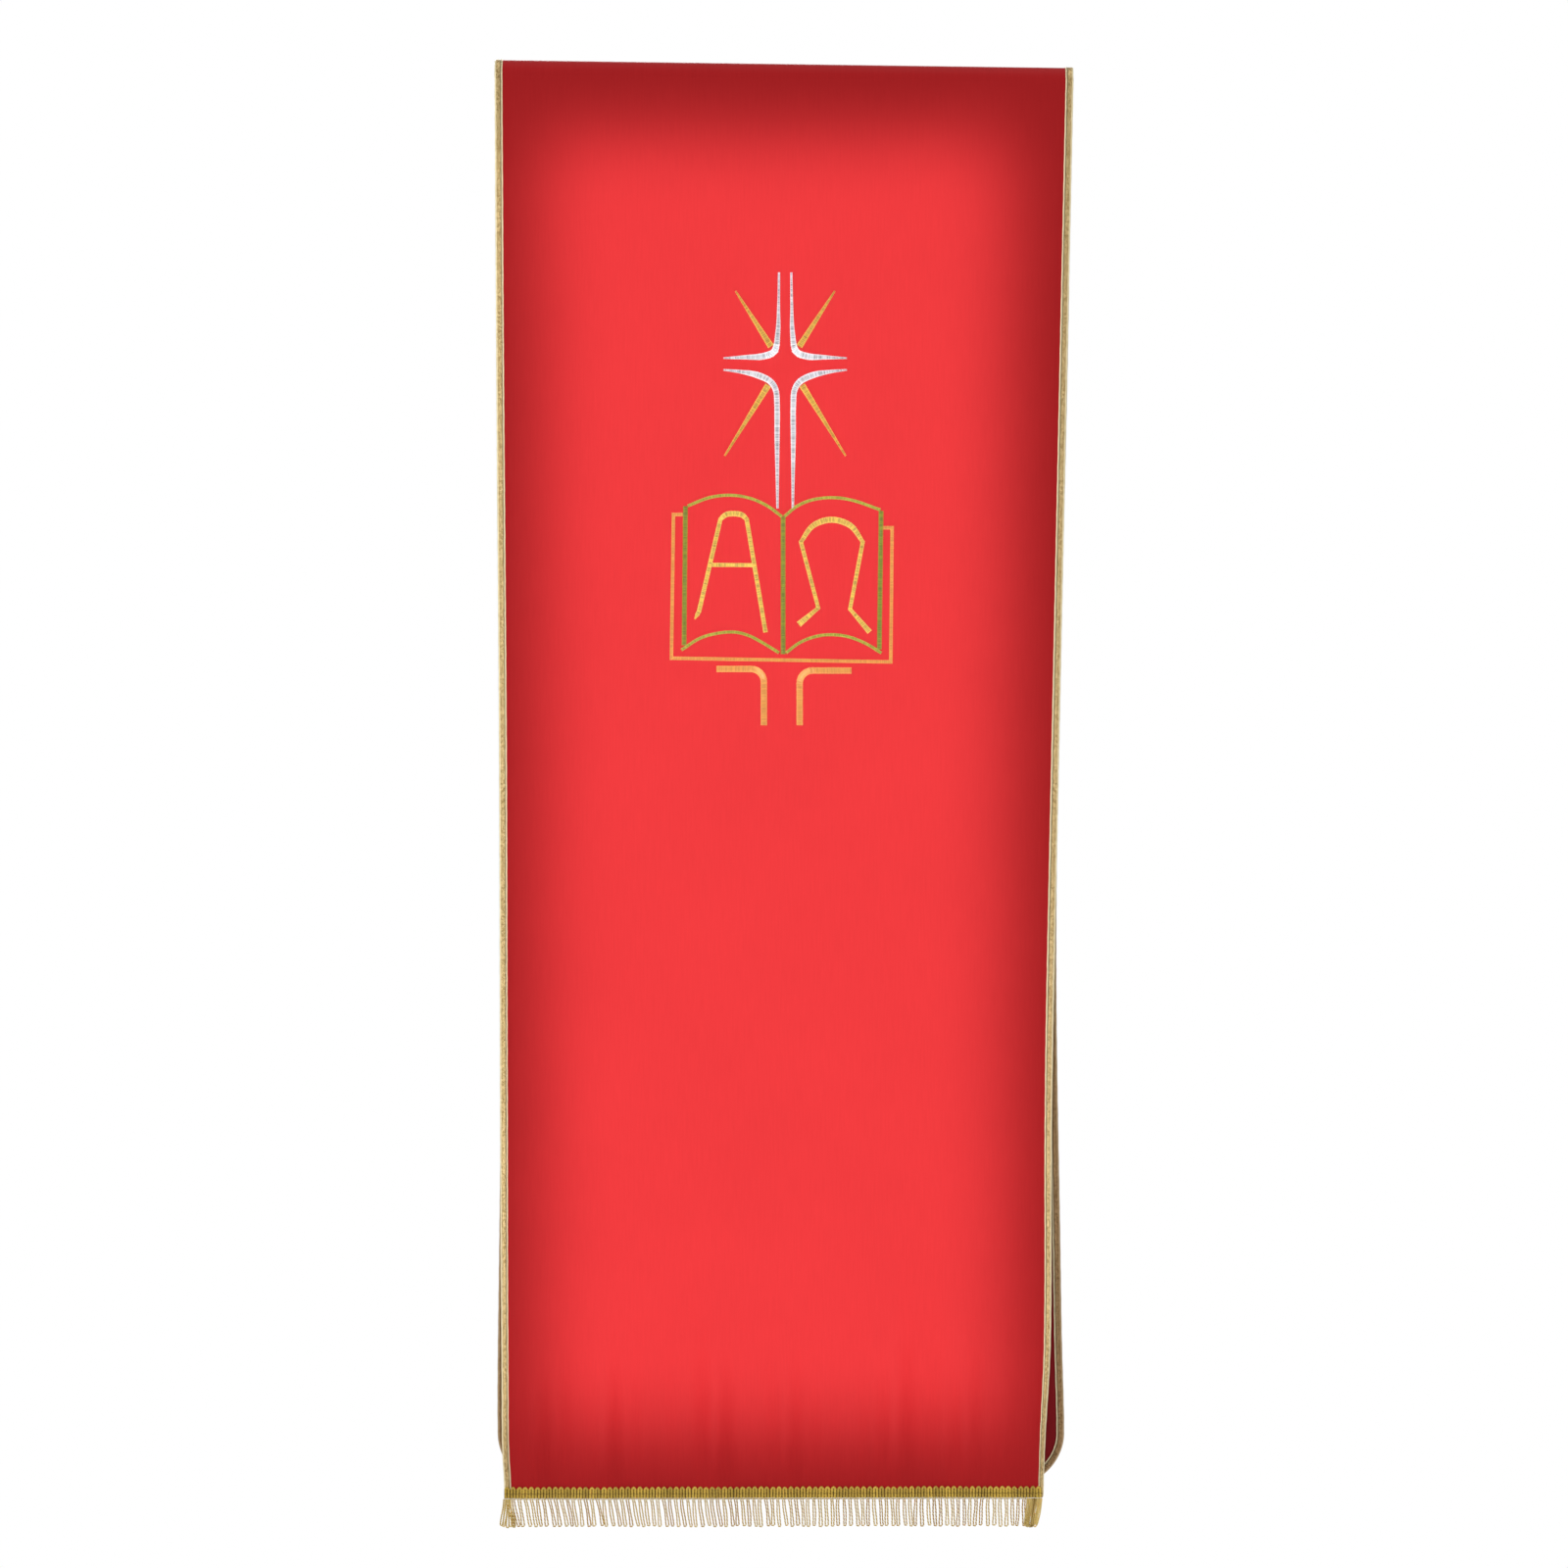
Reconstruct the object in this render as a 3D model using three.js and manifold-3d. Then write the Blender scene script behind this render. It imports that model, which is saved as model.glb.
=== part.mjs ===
// A lectern cover: one long strip of cloth hung over a bar, with taped edges, an embroidered front fall
// that ends in a looped fringe, and a plain rear fall with rounded corners.
// Millimetres. X runs across the cover, -Y is the embroidered front, +Z is up.
// The origin is the middle of the line where the cloth lies on top of the bar.
import * as THREE from "three";
import { mergeVertices } from "three/addons/utils/BufferGeometryUtils.js";
import Module from "manifold-3d";

const wasm = await Module();
wasm.setup();

// Cover
const coverWidth = 500; // over the bound edges, at the fold
const barRadius = 12.5; // of the bar that the cover hangs on
const clothThickness = 0.6;
const frontFallLength = 1226.5; // from its swing line to the cut edge behind the fringe header
const hemWidth = 468; // the fringe draws the hem in
const hemShift = -10; // the hem hangs a little to the left
const rearFallLength = 1218.5;
const rearEndWidth = 489;
const rearEndShift = -3;
const rearCornerRadius = 47;

// Fold-over tape
const tapeWidth = 6.8; // seen on each face
const tapeThickness = 0.4;
const rearTapeRise = 280; // how far the rear-end tape runs up each side

// Fringe
const headerHeight = 10.5;
const headerThickness = 1.6;
const headerDrop = 2; // how far the header reaches below the cloth
const scallopRise = 1.2;
const loopPitch = 5.2;
const loopWidth = 3.6;
const fringeLength = 23.5; // below the header
const fringeThickness = 1;
const fringeRoot = 2.2; // depth of the chained row that the loops hang from

// Embroidery
const threadThickness = 0.8;
const backingThickness = 0.3;
const backingMargin = 12;
const motifShift = 1; // the cross stands this far right of the middle
const pageCurveWidth = 2.9;
const pageEdgeWidth = 4.3;
const coverLineWidth = 3.3;
const standWidth = 5.7;
const standReach = 58; // how far the stand's arms reach from the middle
const standFootZ = -571;
const bracketBend = 11;

// Fits
const sewnGap = 0.3; // air between pieces that are sewn on each other
const bendSteps = 24; // flats round the fold
const cornerSteps = 10; // flats round a rear corner
const spanSteps = 4; // flats between two points of a smooth band
const bracketSteps = 6; // flats round a bracket's bend

// Worked out from the sizes above
const foldOuterRadius = barRadius + clothThickness;
const clothMiddle = barRadius + clothThickness / 2;
const tapeHalf = clothThickness / 2 + sewnGap + tapeThickness;
const edgeInset = tapeThickness + sewnGap;
const swingZ = -barRadius;
const hemZ = swingZ - frontFallLength;
const headerBottomZ = hemZ - headerDrop;
const headerValleyZ = headerBottomZ + headerHeight;
const headerTopZ = headerValleyZ + scallopRise;
const rearEndZ = swingZ - rearFallLength - edgeInset;
const hemLeft = hemShift - hemWidth / 2;
const hemRight = hemShift + hemWidth / 2;
const trimBackY = -(foldOuterRadius + sewnGap);
const fringeAxisY = trimBackY - headerThickness / 2;
const fringeAxisZ = headerBottomZ - sewnGap - fringeThickness / 2;

const clothRed = new THREE.MeshStandardMaterial({ color: 0xc0262b, roughness: 0.75 });
const goldTape = new THREE.MeshStandardMaterial({ color: 0xc4a877, roughness: 0.45, metalness: 0.5 });
const gimpGold = new THREE.MeshStandardMaterial({ color: 0xb79a3c, roughness: 0.5, metalness: 0.3 });
const cordGold = new THREE.MeshStandardMaterial({ color: 0xd0bd8c, roughness: 0.5, metalness: 0.2 });
const silverThread = new THREE.MeshStandardMaterial({ color: 0xe4e4ea, roughness: 0.4 });
const goldThread = new THREE.MeshStandardMaterial({ color: 0xd9aa45, roughness: 0.4 });
const greenThread = new THREE.MeshStandardMaterial({ color: 0xa3a335, roughness: 0.45 });
const orangeThread = new THREE.MeshStandardMaterial({ color: 0xf2a458, roughness: 0.45 });
const backingWhite = new THREE.MeshStandardMaterial({ color: 0xe9e6df, roughness: 0.9 });

const cover = new THREE.Group();

function add(name, geometry, material) {
  const mesh = new THREE.Mesh(geometry, material);
  mesh.name = name;
  cover.add(mesh);
}

function toSolid(geometry) {
  const bare = geometry.clone();
  bare.deleteAttribute("normal");
  bare.deleteAttribute("uv");
  const merged = mergeVertices(bare);
  const vertProperties = merged.attributes.position.array;
  const triVerts = Uint32Array.from(merged.index.array);
  return new wasm.Manifold(new wasm.Mesh({ numProp: 3, vertProperties, triVerts }));
}

function toGeometry(solid) {
  const mesh = solid.getMesh();
  const geometry = new THREE.BufferGeometry();
  geometry.setAttribute("position", new THREE.BufferAttribute(mesh.vertProperties, mesh.numProp));
  geometry.setIndex(new THREE.BufferAttribute(mesh.triVerts, 1));
  geometry.computeVertexNormals();
  return geometry;
}

function cut(geometry, cutters) {
  const left = cutters.reduce((solid, cutter) => solid.subtract(toSolid(cutter)), toSolid(geometry));
  return toGeometry(left);
}

// An outline drawn on the front (x across, z up), made into a slab whose back lies at backY.
function slab(outline, backY, thickness) {
  const geometry = new THREE.ExtrudeGeometry(new THREE.Shape(outline), {
    depth: thickness,
    bevelEnabled: false,
  });
  geometry.rotateX(Math.PI / 2);
  geometry.translate(0, backY, 0);
  return geometry;
}

// Part of a ring round the bar, from innerRadius to outerRadius, between two heights over the swing
// lines that are the same in front and behind, and from x = left on for a width.
function barRing(innerRadius, outerRadius, endHeight, left, width) {
  const start = Math.asin(endHeight / innerRadius);
  const outline = new THREE.Shape();
  for (let i = 0; i <= bendSteps; i += 1) {
    const angle = start + ((Math.PI - 2 * start) * i) / bendSteps;
    const place = [outerRadius * Math.cos(angle), swingZ + outerRadius * Math.sin(angle)];
    if (i === 0) outline.moveTo(...place);
    else outline.lineTo(...place);
  }
  for (let i = bendSteps; i >= 0; i -= 1) {
    const angle = start + ((Math.PI - 2 * start) * i) / bendSteps;
    outline.lineTo(innerRadius * Math.cos(angle), swingZ + innerRadius * Math.sin(angle));
  }
  const geometry = new THREE.ExtrudeGeometry(outline, { depth: width, bevelEnabled: false });
  const across = new THREE.Vector3(1, 0, 0);
  const back = new THREE.Vector3(0, 1, 0);
  const up = new THREE.Vector3(0, 0, 1);
  geometry.applyMatrix4(new THREE.Matrix4().makeBasis(back, up, across));
  geometry.translate(left, 0, 0);
  return geometry;
}

// Tape folded over a straight side edge: a channel that opens towards the middle of the cover.
function sideTape(side, topX, topZ, bottomX, bottomZ, middleY) {
  const inner = tapeHalf - tapeThickness;
  const section = [
    [0, -tapeHalf],
    [0, tapeHalf],
    [-tapeWidth, tapeHalf],
    [-tapeWidth, inner],
    [-tapeThickness, inner],
    [-tapeThickness, -inner],
    [-tapeWidth, -inner],
    [-tapeWidth, -tapeHalf],
  ].map(([x, y]) => new THREE.Vector2(side * x, y));
  const height = topZ - bottomZ;
  const settings = { depth: height, bevelEnabled: false };
  const geometry = new THREE.ExtrudeGeometry(new THREE.Shape(section), settings);
  const lean = (topX - bottomX) / height;
  const place = new THREE.Matrix4();
  place.set(1, 0, lean, bottomX, 0, 1, 0, middleY, 0, 0, 1, bottomZ, 0, 0, 0, 1);
  geometry.applyMatrix4(place);
  return geometry;
}

// Where a fall's side edge is at a height, on the way from the fold to its end.
function sideX(side, z, endZ, endWidth, endShift) {
  const share = (swingZ - z) / (swingZ - endZ);
  const end = endShift + (side * endWidth) / 2;
  return ((1 - share) * side * coverWidth) / 2 + share * end;
}

// Top fold. Its cloth ends clear of the falls' cloth and its tape clear of their tape, and the falls'
// tape starts below the swing line, so that nothing meets when a fall is lifted level.
const foldWidth = coverWidth - 2 * edgeInset;
const clothEnd = clothThickness / 2 + sewnGap;
const fallTapeTopZ = swingZ - clothEnd;
const foldCloth = barRing(barRadius, foldOuterRadius, clothEnd, -foldWidth / 2, foldWidth);
add("top_fold_cloth", foldCloth, clothRed);

const tapeEnd = tapeHalf + sewnGap;
const tapeInnerRadius = clothMiddle - tapeHalf;
const tapeOuterRadius = clothMiddle + tapeHalf;
for (const [label, side] of [["left", -1], ["right", 1]]) {
  const outerX = (side * coverWidth) / 2;
  const left = Math.min(outerX, outerX - side * tapeWidth);
  const whole = barRing(tapeInnerRadius, tapeOuterRadius, tapeEnd, left, tapeWidth);
  const slotLeft = side > 0 ? left - sewnGap : left + tapeThickness;
  const slotWidth = tapeWidth - tapeThickness + sewnGap;
  const slot = barRing(barRadius - sewnGap, foldOuterRadius + sewnGap, 0, slotLeft, slotWidth);
  add(`top_fold_binding_${label}`, cut(whole, [slot]), goldTape);
}

// Front fall
const frontOutline = [
  new THREE.Vector2(-foldWidth / 2, swingZ),
  new THREE.Vector2(hemLeft + edgeInset, hemZ),
  new THREE.Vector2(hemRight - edgeInset, hemZ),
  new THREE.Vector2(foldWidth / 2, swingZ),
];
add("front_fall_cloth", slab(frontOutline, -barRadius, clothThickness), clothRed);

for (const [label, side] of [["left", -1], ["right", 1]]) {
  const bottomZ = headerTopZ + sewnGap;
  const topX = sideX(side, fallTapeTopZ, hemZ, hemWidth, hemShift);
  const bottomX = sideX(side, bottomZ, hemZ, hemWidth, hemShift);
  const tape = sideTape(side, topX, fallTapeTopZ, bottomX, bottomZ, -clothMiddle);
  add(`front_binding_${label}`, tape, goldTape);
}

// Rear fall: its outline, drawn in by an inset on the sides and the end.
function rearOutline(inset, topZ) {
  const radius = rearCornerRadius - inset;
  const bottomZ = rearEndZ + inset;
  const outline = [];
  for (const side of [-1, 1]) {
    const centreX = rearEndShift + side * (rearEndWidth / 2 - inset - radius);
    const topX = sideX(side, topZ, rearEndZ, rearEndWidth, rearEndShift) - side * inset;
    const top = new THREE.Vector2(topX, topZ);
    const corner = [];
    for (let i = 0; i <= cornerSteps; i += 1) {
      const angle = ((Math.PI / 2) * i) / cornerSteps;
      const x = centreX + side * radius * Math.cos(angle);
      corner.push(new THREE.Vector2(x, bottomZ + radius - radius * Math.sin(angle)));
    }
    if (side < 0) outline.push(top, ...corner);
    else outline.push(...corner.reverse(), top);
  }
  return outline;
}

const joinZ = rearEndZ + rearTapeRise;
const rearCloth = slab(rearOutline(edgeInset, swingZ), barRadius + clothThickness, clothThickness);
add("rear_fall_cloth", rearCloth, clothRed);

for (const [label, side] of [["left", -1], ["right", 1]]) {
  const bottomZ = joinZ + sewnGap;
  const topX = sideX(side, fallTapeTopZ, rearEndZ, rearEndWidth, rearEndShift);
  const bottomX = sideX(side, bottomZ, rearEndZ, rearEndWidth, rearEndShift);
  const tape = sideTape(side, topX, fallTapeTopZ, bottomX, bottomZ, clothMiddle);
  add(`rear_binding_${label}`, tape, goldTape);
}

const tapeBack = clothMiddle + tapeHalf;
const slotHalf = tapeHalf - tapeThickness;
const beyond = joinZ + sewnGap; // the cutters run past the tape's two ends
const endTape = cut(slab(rearOutline(0, joinZ), tapeBack, 2 * tapeHalf), [
  slab(rearOutline(tapeThickness, beyond), clothMiddle + slotHalf, 2 * slotHalf),
  slab(rearOutline(tapeWidth, beyond), tapeBack + sewnGap, 2 * (tapeHalf + sewnGap)),
]);
add("rear_end_binding", endTape, goldTape);

// Fringe header: a woven strip whose upper edge is a row of small scallops.
const loopCount = Math.round(hemWidth / loopPitch);
const pitch = hemWidth / loopCount;
const headerOutline = [
  new THREE.Vector2(hemLeft, headerBottomZ),
  new THREE.Vector2(hemRight, headerBottomZ),
];
for (let i = loopCount - 1; i >= 0; i -= 1) {
  const centreX = hemLeft + (i + 0.5) * pitch;
  headerOutline.push(new THREE.Vector2(centreX + pitch / 2, headerValleyZ));
  headerOutline.push(new THREE.Vector2(centreX + pitch / 4, headerTopZ));
  headerOutline.push(new THREE.Vector2(centreX - pitch / 4, headerTopZ));
}
headerOutline.push(new THREE.Vector2(hemLeft, headerValleyZ));
add("fringe_header", slab(headerOutline, trimBackY, headerThickness), gimpGold);

// Fringe: loops hanging side by side from one chained row.
const fringeBottomZ = headerBottomZ - fringeLength;
const rootZ = fringeAxisZ - fringeRoot;
const fringeOutline = [new THREE.Vector2(hemRight, fringeAxisZ), new THREE.Vector2(hemLeft, fringeAxisZ)];
for (let i = 0; i < loopCount; i += 1) {
  const centreX = hemLeft + (i + 0.5) * pitch;
  const left = centreX - loopWidth / 2;
  const right = centreX + loopWidth / 2;
  if (i === 0) fringeOutline.push(new THREE.Vector2(hemLeft, rootZ));
  fringeOutline.push(new THREE.Vector2(left, rootZ));
  fringeOutline.push(new THREE.Vector2(left, fringeBottomZ));
  fringeOutline.push(new THREE.Vector2(right, fringeBottomZ));
  fringeOutline.push(new THREE.Vector2(right, rootZ));
}
fringeOutline.push(new THREE.Vector2(hemRight, rootZ));
add("fringe_loops", slab(fringeOutline, fringeAxisY + fringeThickness / 2, fringeThickness), cordGold);

// Embroidery. A band is a line of points [x, z, width]; smoothLine runs one through its points, and
// straight stretches meet in mitred corners.
function smoothLine(points) {
  const places = points.map(([x, z, width]) => new THREE.Vector3(x, z, width));
  const curve = new THREE.CatmullRomCurve3(places, false, "centripetal");
  return curve.getPoints((points.length - 1) * spanSteps).map((p) => [p.x, p.y, p.z]);
}

function bandOutline(line, grow) {
  const places = line.map(([x, z]) => new THREE.Vector2(x, z));
  const last = places.length - 1;
  const rightSide = [];
  const leftSide = [];
  for (let i = 0; i <= last; i += 1) {
    const before = places[Math.max(i, 1)].clone().sub(places[Math.max(i, 1) - 1]).normalize();
    const after = places[Math.min(i, last - 1) + 1].clone().sub(places[Math.min(i, last - 1)]).normalize();
    const along = before.clone().add(after).normalize();
    const reach = (line[i][2] / 2 + grow) / along.dot(after);
    const aside = new THREE.Vector2(-along.y, along.x).multiplyScalar(reach);
    const place = places[i].clone();
    if (i === 0) place.addScaledVector(after, -grow);
    if (i === last) place.addScaledVector(before, grow);
    leftSide.push(place.clone().add(aside));
    rightSide.push(place.clone().sub(aside));
  }
  return [...rightSide, ...leftSide.reverse()];
}

function band(line) {
  return slab(bandOutline(line, 0), trimBackY, threadThickness);
}

// The same band, wider all round by the sewn gap and deeper, to cut what would run into it.
function bandCutter(line) {
  return slab(bandOutline(line, sewnGap), trimBackY + sewnGap, threadThickness + 2 * sewnGap);
}

// Cross: four bands, each from one arm's end round the corner to the next arm's end.
const upperQuarter = [
  [5.3, -180.6, 2.1],
  [5.7, -211, 2.8],
  [6.3, -232, 4.4],
  [9.4, -248.4, 5.6],
  [18.3, -252.6, 6],
  [33.5, -253.6, 4.2],
  [53, -254.3, 1.7],
];
const lowerQuarter = [
  [53, -264.5, 1.7],
  [39, -266, 3.4],
  [24.6, -268.8, 5.6],
  [13, -274.3, 5.6],
  [8.2, -281.5, 5.2],
  [7, -295, 5],
  [7, -323, 4.6],
  [6.8, -351, 3.4],
  [6.6, -383.8, 2.3],
];
const upperRay = [
  [42.7, -196.6, 1.2],
  [12.4, -244, 5.8],
];
const lowerRay = [
  [52.1, -338.5, 1.2],
  [14.8, -278, 5.8],
];

function sideways(line, side) {
  return line.map(([x, z, width]) => [motifShift + side * x, z, width]);
}

// A line of [x, z] points that is equally wide all along.
function evenLine(points, width) {
  return points.map(([x, z]) => [x, z, width]);
}

// Book: page curves, page edges and spine.
const topLeftPoints = [
  [-82.8, -381.8],
  [-63.8, -374.6],
  [-45.5, -372.7],
  [-28.7, -375.5],
  [-14.6, -381.8],
  [-2, -391],
];
const topRightPoints = [
  [0.4, -391],
  [10.7, -382.5],
  [23.3, -377],
  [41.6, -374.8],
  [58.4, -376.9],
  [83, -385.3],
];
const bottomLeftPoints = [
  [-88.4, -506.2],
  [-70.8, -495.4],
  [-45.5, -490.7],
  [-31.5, -493.5],
  [-18.8, -499.9],
  [-4.6, -508.6],
];
const bottomRightPoints = [
  [2, -508.6],
  [13.5, -500],
  [27.5, -494.6],
  [40.2, -493.1],
  [55.6, -494.9],
  [71.1, -501],
  [83.8, -508.8],
];
const topLeftPage = smoothLine(evenLine(topLeftPoints, pageCurveWidth));
const topRightPage = smoothLine(evenLine(topRightPoints, pageCurveWidth));
const bottomLeftPage = smoothLine(evenLine(bottomLeftPoints, pageCurveWidth));
const bottomRightPage = smoothLine(evenLine(bottomRightPoints, pageCurveWidth));
const leftPageEdge = evenLine([[-85.1, -382.5], [-86.3, -502]], pageEdgeWidth);
const rightPageEdge = evenLine([[83.8, -386.5], [82.3, -505.5]], pageEdgeWidth);
const spine = evenLine([[-0.8, -391.5], [-0.8, -509.6]], pageEdgeWidth);
const coverPoints = [
  [-87.6, -389.3],
  [-95.4, -389.3],
  [-97.2, -513.4],
  [92.2, -516.6],
  [93.3, -400.8],
  [85.8, -400.8],
];
const coverLine = evenLine(coverPoints, coverLineWidth);

// Letters
const alphaLine = [
  [-77, -479.5, 1.5],
  [-73.4, -473, 4],
  ...smoothLine([
    [-54.9, -393.4, 4],
    [-50, -389.4, 4.9],
    [-43, -388.6, 4.9],
    [-36.2, -389.8, 4.9],
    [-32.2, -393.4, 4],
  ]),
  [-16, -490.8, 4],
];
const alphaBar = evenLine([[-62, -432.8], [-25.5, -433.1]], 3.8);
const omegaLine = [
  [13, -484, 5.6],
  [29.6, -470, 3.6],
  ...smoothLine([
    [14.6, -413, 3.8],
    [25, -399, 5],
    [41, -393.8, 5.4],
    [57.5, -399, 5.2],
    [68, -413, 3.8],
  ]),
  [57, -471, 3.6],
  [73.8, -490.6, 5],
];

// Stand brackets: a level arm, a quarter bend and a drop.
function bracketLine(side, armX, armZ, dropX) {
  const points = [[armX, armZ]];
  for (let i = 0; i <= bracketSteps; i += 1) {
    const angle = ((Math.PI / 2) * i) / bracketSteps;
    const x = dropX + side * bracketBend * (1 - Math.sin(angle));
    points.push([x, armZ - bracketBend * (1 - Math.cos(angle))]);
  }
  points.push([dropX, standFootZ]);
  return evenLine(points, standWidth);
}

for (const [label, side] of [["left", -1], ["right", 1]]) {
  const upper = sideways(smoothLine(upperQuarter), side);
  const lower = sideways(smoothLine(lowerQuarter), side);
  const page = side < 0 ? topLeftPage : topRightPage;
  add(`cross_upper_${label}`, band(upper), silverThread);
  add(`cross_lower_${label}`, cut(band(lower), [bandCutter(page)]), silverThread);
  add(`ray_upper_${label}`, cut(band(sideways(upperRay, side)), [bandCutter(upper)]), goldThread);
  add(`ray_lower_${label}`, cut(band(sideways(lowerRay, side)), [bandCutter(lower)]), goldThread);
}

add("book_spine", band(spine), greenThread);
add("page_edge_left", band(leftPageEdge), greenThread);
add("page_edge_right", band(rightPageEdge), greenThread);
const leftCutters = [bandCutter(spine), bandCutter(leftPageEdge)];
const rightCutters = [bandCutter(spine), bandCutter(rightPageEdge)];
add("page_top_left", cut(band(topLeftPage), leftCutters), greenThread);
add("page_top_right", cut(band(topRightPage), [...rightCutters, bandCutter(topLeftPage)]), greenThread);
add("page_bottom_left", cut(band(bottomLeftPage), leftCutters), greenThread);
add("page_bottom_right", cut(band(bottomRightPage), rightCutters), greenThread);
const pageEdgeCutters = [bandCutter(leftPageEdge), bandCutter(rightPageEdge)];
add("book_cover_outline", cut(band(coverLine), pageEdgeCutters), orangeThread);
add("alpha", band(alphaLine), goldThread);
add("alpha_bar", cut(band(alphaBar), [bandCutter(alphaLine)]), goldThread);
add("omega", band(omegaLine), goldThread);
add("stand_left", band(bracketLine(-1, -standReach, -522.7, -17.4)), orangeThread);
add("stand_right", band(bracketLine(1, standReach, -524.1, 13.5)), orangeThread);

// Backing behind the whole motif, trimmed to its steps.
const crossTopZ = upperQuarter[0][1] + backingMargin;
const crossHalf = upperQuarter[upperQuarter.length - 1][0] + backingMargin;
const bookTopZ = topLeftPoints[2][1] + backingMargin;
const bookHalf = -coverPoints[2][0] + backingMargin;
const bookBottomZ = coverPoints[3][1] - backingMargin;
const standHalf = standReach + backingMargin;
const backingSteps = [
  [crossHalf, crossTopZ],
  [crossHalf, bookTopZ],
  [bookHalf, bookTopZ],
  [bookHalf, bookBottomZ],
  [standHalf, bookBottomZ],
  [standHalf, standFootZ - backingMargin],
];
const backingOutline = [
  ...backingSteps.map(([x, z]) => new THREE.Vector2(-x, z)),
  ...backingSteps.reverse().map(([x, z]) => new THREE.Vector2(x, z)),
];
const backingBackY = -barRadius + sewnGap + backingThickness;
add("embroidery_backing", slab(backingOutline, backingBackY, backingThickness), backingWhite);

export default cover;
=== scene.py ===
import math

import bmesh
import bpy
import numpy as np
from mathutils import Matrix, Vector


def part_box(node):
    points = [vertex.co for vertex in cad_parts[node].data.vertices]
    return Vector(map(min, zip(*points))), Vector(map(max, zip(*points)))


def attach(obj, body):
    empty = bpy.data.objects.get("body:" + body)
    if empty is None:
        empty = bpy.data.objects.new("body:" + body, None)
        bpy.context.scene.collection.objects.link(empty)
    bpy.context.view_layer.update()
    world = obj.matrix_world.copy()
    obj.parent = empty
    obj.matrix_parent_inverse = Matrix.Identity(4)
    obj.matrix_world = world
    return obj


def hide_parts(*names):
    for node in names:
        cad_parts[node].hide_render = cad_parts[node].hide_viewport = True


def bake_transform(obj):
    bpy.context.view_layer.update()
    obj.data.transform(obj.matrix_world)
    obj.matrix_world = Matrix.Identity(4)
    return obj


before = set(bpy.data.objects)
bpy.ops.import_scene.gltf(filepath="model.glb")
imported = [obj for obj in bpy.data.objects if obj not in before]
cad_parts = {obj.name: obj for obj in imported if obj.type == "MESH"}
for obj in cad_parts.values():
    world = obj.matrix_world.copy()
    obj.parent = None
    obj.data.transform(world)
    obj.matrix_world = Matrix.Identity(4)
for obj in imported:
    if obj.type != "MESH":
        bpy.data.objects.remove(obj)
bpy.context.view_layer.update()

# A lectern cover: one strip of red cloth over a bar, bound with gold tape, embroidered in front and
# ended by a looped fringe. Metres; -Y is the embroidered front, and the bar's top is at the origin.
mm = 0.001

# Camera, lights and floor
studio = {
    "cameraDistance": 8.0,
    "viewWidth": 1.356,
    "viewHeight": -0.622,
    "floorDrop": 0.16,  # below the fringe
    "fillPlace": (2.4, -2.6, 0.3),
    "fillSize": (1.4, 2.2),
    "rearPlace": (-0.9, 3.2, 0.7),
    "rearSize": (2.0, 2.0),
    "topPlace": (0.3, -0.4, 2.4),
    "topSize": (1.6, 1.6),
    "floorRadius": 1.3,
    "floorFade": (0.35, 0.97),  # where it turns white, as shares of its radius
    "skyLight": 0.5,
    "keySize": (0.40, 1.113),
    "keyCentre": (-0.008, -0.6215),
    "keyDistance": 0.5,
    "keyPower": 1.73,
    "keySpread": 17.0,
    "fillPower": 22.0,
    "fillLean": 0.35,  # how much stronger the left one is
    "rearPower": 85.0,
}


def makeCamera():
    data = bpy.data.cameras.new("camera")
    data.sensor_width = 36.0
    data.lens = data.sensor_width * studio["cameraDistance"] / studio["viewWidth"]
    camera = bpy.data.objects.new("camera", data)
    camera.location = (0.0, -studio["cameraDistance"], studio["viewHeight"])
    camera.rotation_euler = (math.pi / 2, 0.0, 0.0)
    bpy.context.collection.objects.link(camera)
    bpy.context.scene.camera = camera


def areaLight(name, place, aim, size, power, spread=180.0):
    data = bpy.data.lights.new(name, "AREA")
    data.shape = "RECTANGLE"
    data.size, data.size_y = size
    data.energy = power
    data.spread = math.radians(spread)
    light = bpy.data.objects.new(name, data)
    light.location = place
    light.rotation_euler = (Vector(aim) - Vector(place)).to_track_quat("-Z", "Y").to_euler()
    light.visible_camera = False
    bpy.context.collection.objects.link(light)


def makeLights():
    keyX, keyZ = studio["keyCentre"]
    keyPlace = (keyX, -studio["keyDistance"], keyZ)
    keyAim = (keyX, 0.0, keyZ)
    areaLight("key", keyPlace, keyAim, studio["keySize"], studio["keyPower"], studio["keySpread"])
    middle = (0.0, 0.0, -0.6)
    for side in (-1, 1):
        power = studio["fillPower"] * (1 - side * studio["fillLean"])
        fillX, fillY, fillZ = studio["fillPlace"]
        areaLight(f"fill_{side}", (fillX * side, fillY, fillZ), middle, studio["fillSize"], power)
    areaLight("rear", studio["rearPlace"], middle, studio["rearSize"], studio["rearPower"])
    areaLight("top", studio["topPlace"], middle, studio["topSize"], studio["fillPower"] * 0.5)
    sky = bpy.data.worlds.new("sky")
    bpy.context.scene.world = sky
    sky.use_nodes = True
    tree = sky.node_tree
    path = tree.nodes.new("ShaderNodeLightPath")
    strength = tree.nodes.new("ShaderNodeMapRange")
    strength.inputs["To Min"].default_value = studio["skyLight"]
    strength.inputs["To Max"].default_value = 1.0
    tree.links.new(path.outputs["Is Camera Ray"], strength.inputs["Value"])
    background = tree.nodes["Background"]
    background.inputs["Color"].default_value = (1.0, 1.0, 1.0, 1.0)
    tree.links.new(strength.outputs["Result"], background.inputs["Strength"])
    bpy.context.scene.view_settings.view_transform = "Standard"


makeCamera()
makeLights()
print("camera and lights ready")


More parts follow.
